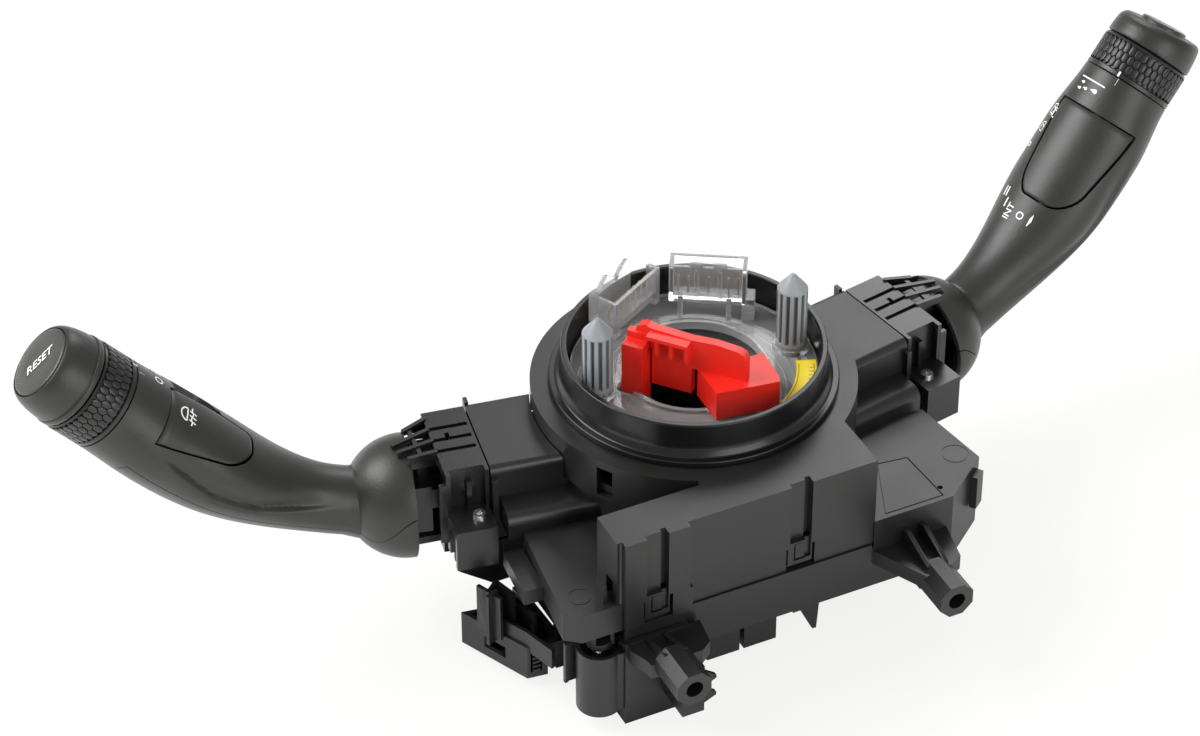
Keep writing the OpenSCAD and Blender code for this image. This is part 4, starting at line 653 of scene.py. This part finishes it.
def knobRing(side, node):
    inner, rim, groove = ring["inner"], ring["rim"], ring["groove"]
    foot, top = ring["foot"], ring["top"]
    low, high = ring["grooveFrom"], ring["grooveTo"]
    profile = [(inner, top - 0.35), (inner, foot), (rim - 0.2, foot), (rim, foot + 0.25), (rim, low - 0.45),
               (rim - 0.25, low - 0.15), (groove, low), (groove, high), (rim - 0.4, high + 0.15),
               (rim - 0.2, top - 0.75), (rim - 0.5, top - 0.15), (rim - 0.9, top), (inner, top),
               (inner, top - 0.35)]
    pieces = [turned(node + "_turned", profile, "knurlAbs")]
    cell = knurlCell()
    upright = Matrix.Rotation(math.pi / 2, 4, "Y") @ Matrix.Rotation(math.pi / 2, 4, "Z")
    out = (ring["cellTop"] - ring["cellHigh"] / 2) * mm
    for row in range(ring["rows"]):
        height = (ring["firstRow"] + ring["rowPitch"] * row) * mm
        for k in range(ring["around"]):
            angle = 2 * math.pi * (k + 0.5 * (row % 2)) / ring["around"]
            place = Matrix.Rotation(angle, 4, "Z") @ Matrix.Translation((out, 0, height))
            pieces.append(copyOf(cell, place @ upright))
    bpy.data.objects.remove(cell, do_unlink=True)
    obj = joined(pieces, node + "_turned")
    seat(obj, knobMatrix(side) @ Matrix.Scale(1 / mm, 4))
    finishPiece(obj, bodyOf[node], "lever_abs", node, width=0, smooth=34)


# end cap with a well, and its button with a soft edge; radii and heights in the knob's frame
capFit = {"core": 6.02, "foot": 14.65, "seat": 18.7, "buttonFoot": 20.55, "slantFrom": 20.6, "slantOver": 4}
caps = {-1: {"cap": "left_end_cap", "button": "reset_button", "well": 13.1, "press": 12.88, "top": 29.15,
             "end": 28.75, "slant": 0.0,
             "shape": ((16.3, 14.65), (16.85, 14.85), (17.05, 15.2), (17.05, 16.5), (16.85, 16.95),
                       (16.4, 17.1), (16.35, 17.5), (16.6, 17.75), (16.35, 20.5), (15.9, 23.6),
                       (15.2, 26.2), (14.7, 27.3), (14.2, 28.1), (13.8, 28.55))},
        1: {"cap": "right_end_cap", "button": "end_button", "well": 9.25, "press": 9.0, "top": 27.0,
            "end": 25.4, "slant": 0.13,
            "shape": ((16.3, 14.65), (16.8, 14.9), (17.0, 15.4), (16.95, 17.0), (16.8, 19.0), (16.5, 21.6),
                      (16.0, 23.6), (15.3, 24.6), (14.4, 25.2), (13.2, 25.4))}}


# the upper part leans: it rises along x by the slope
def slanted(obj, slope):
    for vert in obj.data.vertices:
        vert.co.z += slope * vert.co.x * along(vert.co.z / mm, (capFit["slantFrom"], capFit["slantOver"]))


def placeKnobPiece(obj, side, slope, slot, node):
    slanted(obj, slope)
    seat(obj, knobMatrix(side) @ Matrix.Scale(1 / mm, 4))
    finishPiece(obj, bodyOf[node], slot, node, width=0, smooth=50)


def endCap(side):
    size = caps[side]
    core, foot, floor = capFit["core"], capFit["foot"], capFit["seat"]
    well, end = size["well"], size["end"]
    profile = [(core, foot), *size["shape"], (well + 0.35, end), (well + 0.08, end - 0.15),
               (well, end - 0.45), (well, floor), (core, floor), (core, foot)]
    cap = turned(size["cap"] + "_turned", profile, "leverAbs")
    placeKnobPiece(cap, side, size["slant"], "lever_abs", size["cap"])
    press, top, low = size["press"], size["top"], capFit["buttonFoot"]
    face = [(0.02, low), (press, low), (press, top - 0.75), (press - 0.12, top - 0.4),
            (press - 0.45, top - 0.12), (press - 1.0, top), (press * 0.5, top - 0.12), (0.02, top - 0.16)]
    button = turned(size["button"] + "_turned", face, "buttonAbs")
    placeKnobPiece(button, side, size["slant"], "button_abs", size["button"])


for side, node in ((-1, "light_selector_ring"), (1, "rain_sensor_ring")):
    knobRing(side, node)
    endCap(side)
print("knobs made")


# drive pins: a turned post with a cone, and deep slots milled all round between its fins
pin = {"radius": 5.45, "collar": 5.6, "foot": 2.5, "footHigh": 4, "slots": 12, "slotWide": 1.3,
       "slotDeep": 2.4, "slotLow": 2, "slotHigh": 0.9, "barLong": 5, "cone": 5.5, "at": 36.6,
       "angles": (-7, 176)}


def drivePin(angle):
    low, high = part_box("drive_pins")
    base, top = low.z / mm + pin["footHigh"], high.z / mm
    r, shaft = pin["radius"], top - pin["cone"]
    profile = [(0.02, base - pin["footHigh"]), (pin["foot"], base - pin["footHigh"]), (pin["foot"], base),
               (pin["collar"], base), (pin["collar"], base + 1.4), (r, base + 1.6), (r, shaft - 0.6),
               (r - 0.35, shaft), (0.7, top), (0.02, top)]
    post = turned("drive_pin", profile, "greyPolyamide", sides=72)
    middle = Vector((pin["at"] * math.cos(math.radians(angle)), pin["at"] * math.sin(math.radians(angle)), 0))
    seat(post, Matrix.Translation(middle * mm))
    slotFrom, slotTo = base + pin["slotLow"], shaft - pin["slotHigh"]
    outward = Matrix.Translation((r - pin["slotDeep"] + pin["barLong"] / 2, 0, (slotFrom + slotTo) / 2))
    size = Matrix.Diagonal((pin["barLong"], pin["slotWide"], slotTo - slotFrom, 1))
    bars = []
    for k in range(pin["slots"]):
        bpy.ops.mesh.primitive_cube_add(size=1)
        bar = bpy.context.object
        turn = Matrix.Rotation(2 * math.pi * (k + 0.5) / pin["slots"], 4, "Z")
        bar.data.transform(Matrix.Scale(mm, 4) @ Matrix.Translation(middle) @ turn @ outward @ size)
        bars.append(bar)
    cutWith(post, joined(bars, "slots"))
    finishPiece(post, bodyOf["drive_pins"], "grey_pa", "drive_pins", width=0.16, smooth=35)


for angle in pin["angles"]:
    drivePin(angle)
print("drive pins made")


# pad printed marks: strokes and letters drawn flat in millimetres, then laid on the skin
longestStep = 0.5


def stroke(points, width, closed=False):
    line = list(points) + ([points[0]] if closed else [])
    fine = [line[0]]
    for p, q in zip(line, line[1:]):
        count = max(1, int(math.dist(p, q) / longestStep))
        for k in range(1, count + 1):
            fine.append((p[0] + (q[0] - p[0]) * k / count, p[1] + (q[1] - p[1]) * k / count))
    points, faces = [], []
    for i, p in enumerate(fine):
        a, b = fine[max(0, i - 1)], fine[min(len(fine) - 1, i + 1)]
        if closed and i in (0, len(fine) - 1):
            a, b = fine[-2], fine[1]
        d = math.dist(a, b) or 1
        side = ((a[1] - b[1]) / d * width / 2, (b[0] - a[0]) / d * width / 2)
        points += [(p[0] + side[0], p[1] + side[1]), (p[0] - side[0], p[1] - side[1])]
        if i:
            faces.append((2 * i - 2, 2 * i - 1, 2 * i + 1, 2 * i))
    return points, faces


def arc(cx, cy, r, a0, a1, count=12, squash=1.0):
    return [(cx + r * math.cos(math.radians(a0 + (a1 - a0) * k / count)) * squash,
             cy + r * math.sin(math.radians(a0 + (a1 - a0) * k / count))) for k in range(count + 1)]


inkSpread = 0.012


def letters(word, size, slant=0.0):
    bpy.ops.object.text_add()
    text = bpy.context.object
    text.data.body = word
    text.data.size = size
    text.data.shear = slant
    text.data.offset = size * inkSpread
    text.data.align_x = "CENTER"
    text.data.align_y = "CENTER"
    text.data.resolution_u = 3
    bpy.ops.object.convert(target="MESH")
    mesh = bpy.context.object
    points = [(v.co.x, v.co.y) for v in mesh.data.vertices]
    faces = [tuple(p.vertices) for p in mesh.data.polygons]
    bpy.data.objects.remove(mesh, do_unlink=True)
    return points, faces


def fogMark():
    lamp = stroke(arc(-0.5, 0, 1.45, 90, 270, squash=1.1) + [(-0.5, 1.45)], 0.34)
    wave = stroke([(0.75 + 0.18 * math.sin(k * 1.05), -2.0 + 4.0 * k / 12) for k in range(13)], 0.3)
    beams = [stroke([(0.05, y), (1.75, y - 0.35)], 0.3) for y in (-0.95, 0.05, 1.05)]
    return [lamp, wave] + beams


def lampMark():
    return [stroke(arc(-0.3, 0, 0.9, 90, 270, squash=1.1) + [(-0.3, 0.9)], 0.28)] + [
        stroke([(0.1, y), (1.2, y)], 0.24) for y in (-0.6, 0, 0.6)]


def screenMark(drops):
    border = stroke([(-1.5, -0.9), (-1.2, 0.9), (1.2, 0.9), (1.5, -0.9)], 0.26, closed=True)
    marks = [border, stroke([(0, -0.9), (0.7, 0.5)], 0.26)]
    if drops:
        marks += [stroke([(x, 1.3), (x * 1.2, 1.9)], 0.28) for x in (-0.8, 0, 0.8)]
    return marks


def dropMark(size):
    tip = [(0, size)] + arc(0, -size * 0.25, size * 0.42, 30, -210, 14)
    return [(tip, [tuple(range(len(tip)))])]


def combined(marks, laid):
    points, faces = [], []
    for markPoints, markFaces in marks:
        base = len(points)
        points += [laid(x, y) for x, y in markPoints]
        faces += [tuple(base + i for i in face) for face in markFaces]
    return points, faces


# a mark on a lever, x along it and y round it
def onLever(side, place, lift):
    t0, a0 = place
    here = stalkStation(side, t0)
    speed = math.dist(spine(side, t0 + tinyStep), spine(side, t0 - tinyStep)) / (2 * tinyStep)
    radius = math.hypot(here["w"] * math.cos(math.radians(a0)), here["h"] * math.sin(math.radians(a0)))

    def laid(x, y):
        station = stalkStation(side, t0 + side * x / speed)
        return skinPoint(side, station, a0 - math.degrees(y / radius), -lift)
    return laid


# a mark on a knob's rim, x along the knob's axis
def onKnob(side, place, lift):
    z0, a0 = place
    r = lever["knob"] + lift

    def laid(x, y):
        angle = math.radians(a0) - y / lever["knob"]
        return (-math.cos(angle) * r, -math.sin(angle) * r, z0 + side * x)
    return laid


def printed(name, side, place, marks, body, knob=False, lift=0.08):
    points, faces = combined(marks, (onKnob if knob else onLever)(side, place, lift))
    matrix = knobMatrix(side) if knob else leverMatrix(side)
    obj = meshPiece(name, points, faces, matrix, "padWhite")
    here = stalkStation(side, place[0])
    centre = matrix @ (Vector((0, 0, place[0])) if knob else Vector((here["x"], 0, here["z"])))
    if sum(p.normal.dot(p.center - centre) for p in obj.data.polygons) <= 0:
        flipFaces(obj)
    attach(obj, body)


def resized(marks, scale, dx=0, dy=0):
    return [([(x * scale + dx, y * scale + dy) for x, y in points], faces) for points, faces in marks]


# places are along the lever and degrees round it, or for a knob millimetres along its axis and degrees
barMark = [stroke([(-2.0, 0), (2.0, 0)], 0.75)]
ringBar = [stroke([(-0.7, 0), (1.3, 0)], 0.8)]
collarTick = [stroke([(-1.3, 0), (1.3, 0)], 0.16)]
wiperBlade = [([(-2.8, -0.2), (-0.2, -0.75), (2.8, 0), (0.6, 0.45), (-2.8, 0.15)], [(0, 1, 2, 3, 4)])]
twoBars = resized(barMark, 1, 0, 0.9) + resized(barMark, 1, 0, -0.9)
threeDrops = (resized(dropMark(1.4), 1, 1.1, 1.1) + resized(dropMark(1.4), 1, -1.4, 1.2)
              + resized(dropMark(1.4), 1, -0.7, -1.8))
printed("fog_lamp_mark", -1, (0.775, 21), resized(fogMark(), 1.8), bodyOf["rear_fog_button"], lift=0.2)
printed("left_zero_mark", -1, (0.90, -3), [letters("O", 4.9)], "left_lever")
printed("left_lamp_mark", -1, (0.895, -21), resized(lampMark(), 1.5), "left_lever")
printed("left_lamp_mark_b", -1, (0.895, -37), resized(fogMark(), 1.1), "left_lever")
printed("left_ring_mark", -1, (1.3, -6), ringBar, bodyOf["light_selector_ring"], knob=True)
printed("left_collar_tick", -1, (0.985, 4), collarTick, "left_lever")
printed("interval_word", 1, (0.47, -13), [letters("INT", 4.3)], "right_lever")
printed("right_zero_mark", 1, (0.475, 5), [letters("O", 4.4)], "right_lever")
printed("right_one_mark", 1, (0.49, -25), barMark, "right_lever")
printed("right_two_mark", 1, (0.52, -35), twoBars, "right_lever")
printed("right_single_wipe", 1, (0.48, 19), wiperBlade, "right_lever")
printed("rear_screen_mark", 1, (0.80, -40), resized(screenMark(False), 1.5), "right_lever")
printed("rear_wash_mark", 1, (0.79, -30.5), resized(screenMark(True), 1.5), "right_lever")
printed("rear_interval_mark", 1, (0.735, -41), resized(screenMark(True), 1.4), "right_lever")
printed("rear_off_mark", 1, (0.67, -46), [letters("0", 4.2)], "right_lever")
printed("rain_wedge", 1, (0.945, -11), [stroke([(0.0, -7.0), (0.0, 5.5)], 0.5)], "right_lever")
printed("rain_drop", 1, (0.915, 2), dropMark(2.0), "right_lever")
printed("rain_drops", 1, (0.915, -17), threeDrops, "right_lever")
printed("right_ring_mark", 1, (1.3, 18), ringBar, bodyOf["rain_sensor_ring"], knob=True)
printed("right_collar_tick", 1, (0.985, 21), collarTick, "right_lever")


# plain rules and ticks on the yellow label, in millimetres and degrees
label = {"inner": 37.0, "outer": 42.4, "start": -57.0, "stop": -24.0, "step": 3.0, "lift": 0.03,
         "tickFrom": 1.7, "tickTo": 0.2, "ruleWide": 0.22, "tickWide": 0.3}


def labelRules():
    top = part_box("rotor_label")[1].z / mm + label["lift"]
    marks = [stroke(arc(0, 0, r, label["start"], label["stop"], 40), label["ruleWide"])
             for r in (label["inner"], label["outer"])]
    angle = label["start"] + label["step"]
    while angle < label["stop"]:
        a = math.radians(angle)
        ends = (label["outer"] - label["tickFrom"], label["outer"] - label["tickTo"])
        marks.append(stroke([(r * math.cos(a), r * math.sin(a)) for r in ends], label["tickWide"]))
        angle += label["step"]
    points, faces = combined(marks, lambda x, y: (x, y, top))
    obj = meshPiece("label_rules", points, faces, Matrix.Scale(mm, 4), "labelInk")
    if sum(p.normal.z for p in obj.data.polygons) < 0:
        flipFaces(obj)
    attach(obj, bodyOf["rotor_label"])


labelRules()


# the word on the push button reads along the cap's rise
resetWord = {"size": 4.9, "slant": 0.2, "lift": 0.06}


def capWord():
    points, faces = letters("RESET", resetWord["size"], resetWord["slant"])
    top = caps[-1]["top"] + resetWord["lift"]
    laid = [(-x, y, top) for x, y in points]
    obj = meshPiece("reset_word", laid, faces, knobMatrix(-1), "padWhite")
    facing = knobMatrix(-1).to_3x3() @ Vector((0, 0, 1))
    if sum(p.normal.dot(facing) for p in obj.data.polygons) < 0:
        flipFaces(obj)
    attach(obj, bodyOf["reset_button"])


capWord()
print("printed marks made")


# floor and light
studio = {"floor": "#fdfdfc", "floorSize": 6.0, "floorGlow": 0.85, "world": 0.5, "aim": (0, 0, 0.05),
          "lamps": (("key", (-1.35, 0.85, 1.45), 1.3, 50),
                    ("front", (0.3, -1.7, 0.8), 1.2, 16),
                    ("rim", (1.0, 1.2, 1.2), 0.8, 9))}


def paleStage():
    bpy.ops.mesh.primitive_plane_add(size=studio["floorSize"], location=(0, 0, 0))
    floor = bpy.context.object
    floor.name = "studio_floor"
    mat, shader = newMaterial("pale floor", Roughness=0.9, Base_Color=linear(studio["floor"]))
    seen = addNode(mat, "ShaderNodeLightPath")
    glow = addNode(mat, "ShaderNodeEmission", {"Color": linear(studio["floor"]), "Strength": 1.0})
    wash = addNode(mat, "ShaderNodeMath", {1: studio["floorGlow"]}, {0: seen.outputs["Is Camera Ray"]},
                   operation="MULTIPLY")
    blend = addNode(mat, "ShaderNodeMixShader",
                    links={0: wash.outputs[0], 1: shader.outputs[0], 2: glow.outputs[0]})
    mat.node_tree.links.new(blend.outputs[0], surfaceOf(mat))
    floor.data.materials.append(mat)
    world = bpy.data.worlds.new("soft studio")
    world.use_nodes = True
    world.node_tree.nodes["Background"].inputs["Color"].default_value = (1, 1, 1, 1)
    world.node_tree.nodes["Background"].inputs["Strength"].default_value = studio["world"]
    bpy.context.scene.world = world
    for name, at, size, watts in studio["lamps"]:
        bpy.ops.object.light_add(type="AREA", location=at)
        lamp = bpy.context.object
        lamp.name = "lamp_" + name
        lamp.data.size = size
        lamp.data.energy = watts
        lamp.rotation_euler = (Vector(studio["aim"]) - Vector(at)).to_track_quat("-Z", "Y").to_euler()
    bpy.context.scene.view_settings.view_transform = "Standard"


paleStage()
print("stage ready")
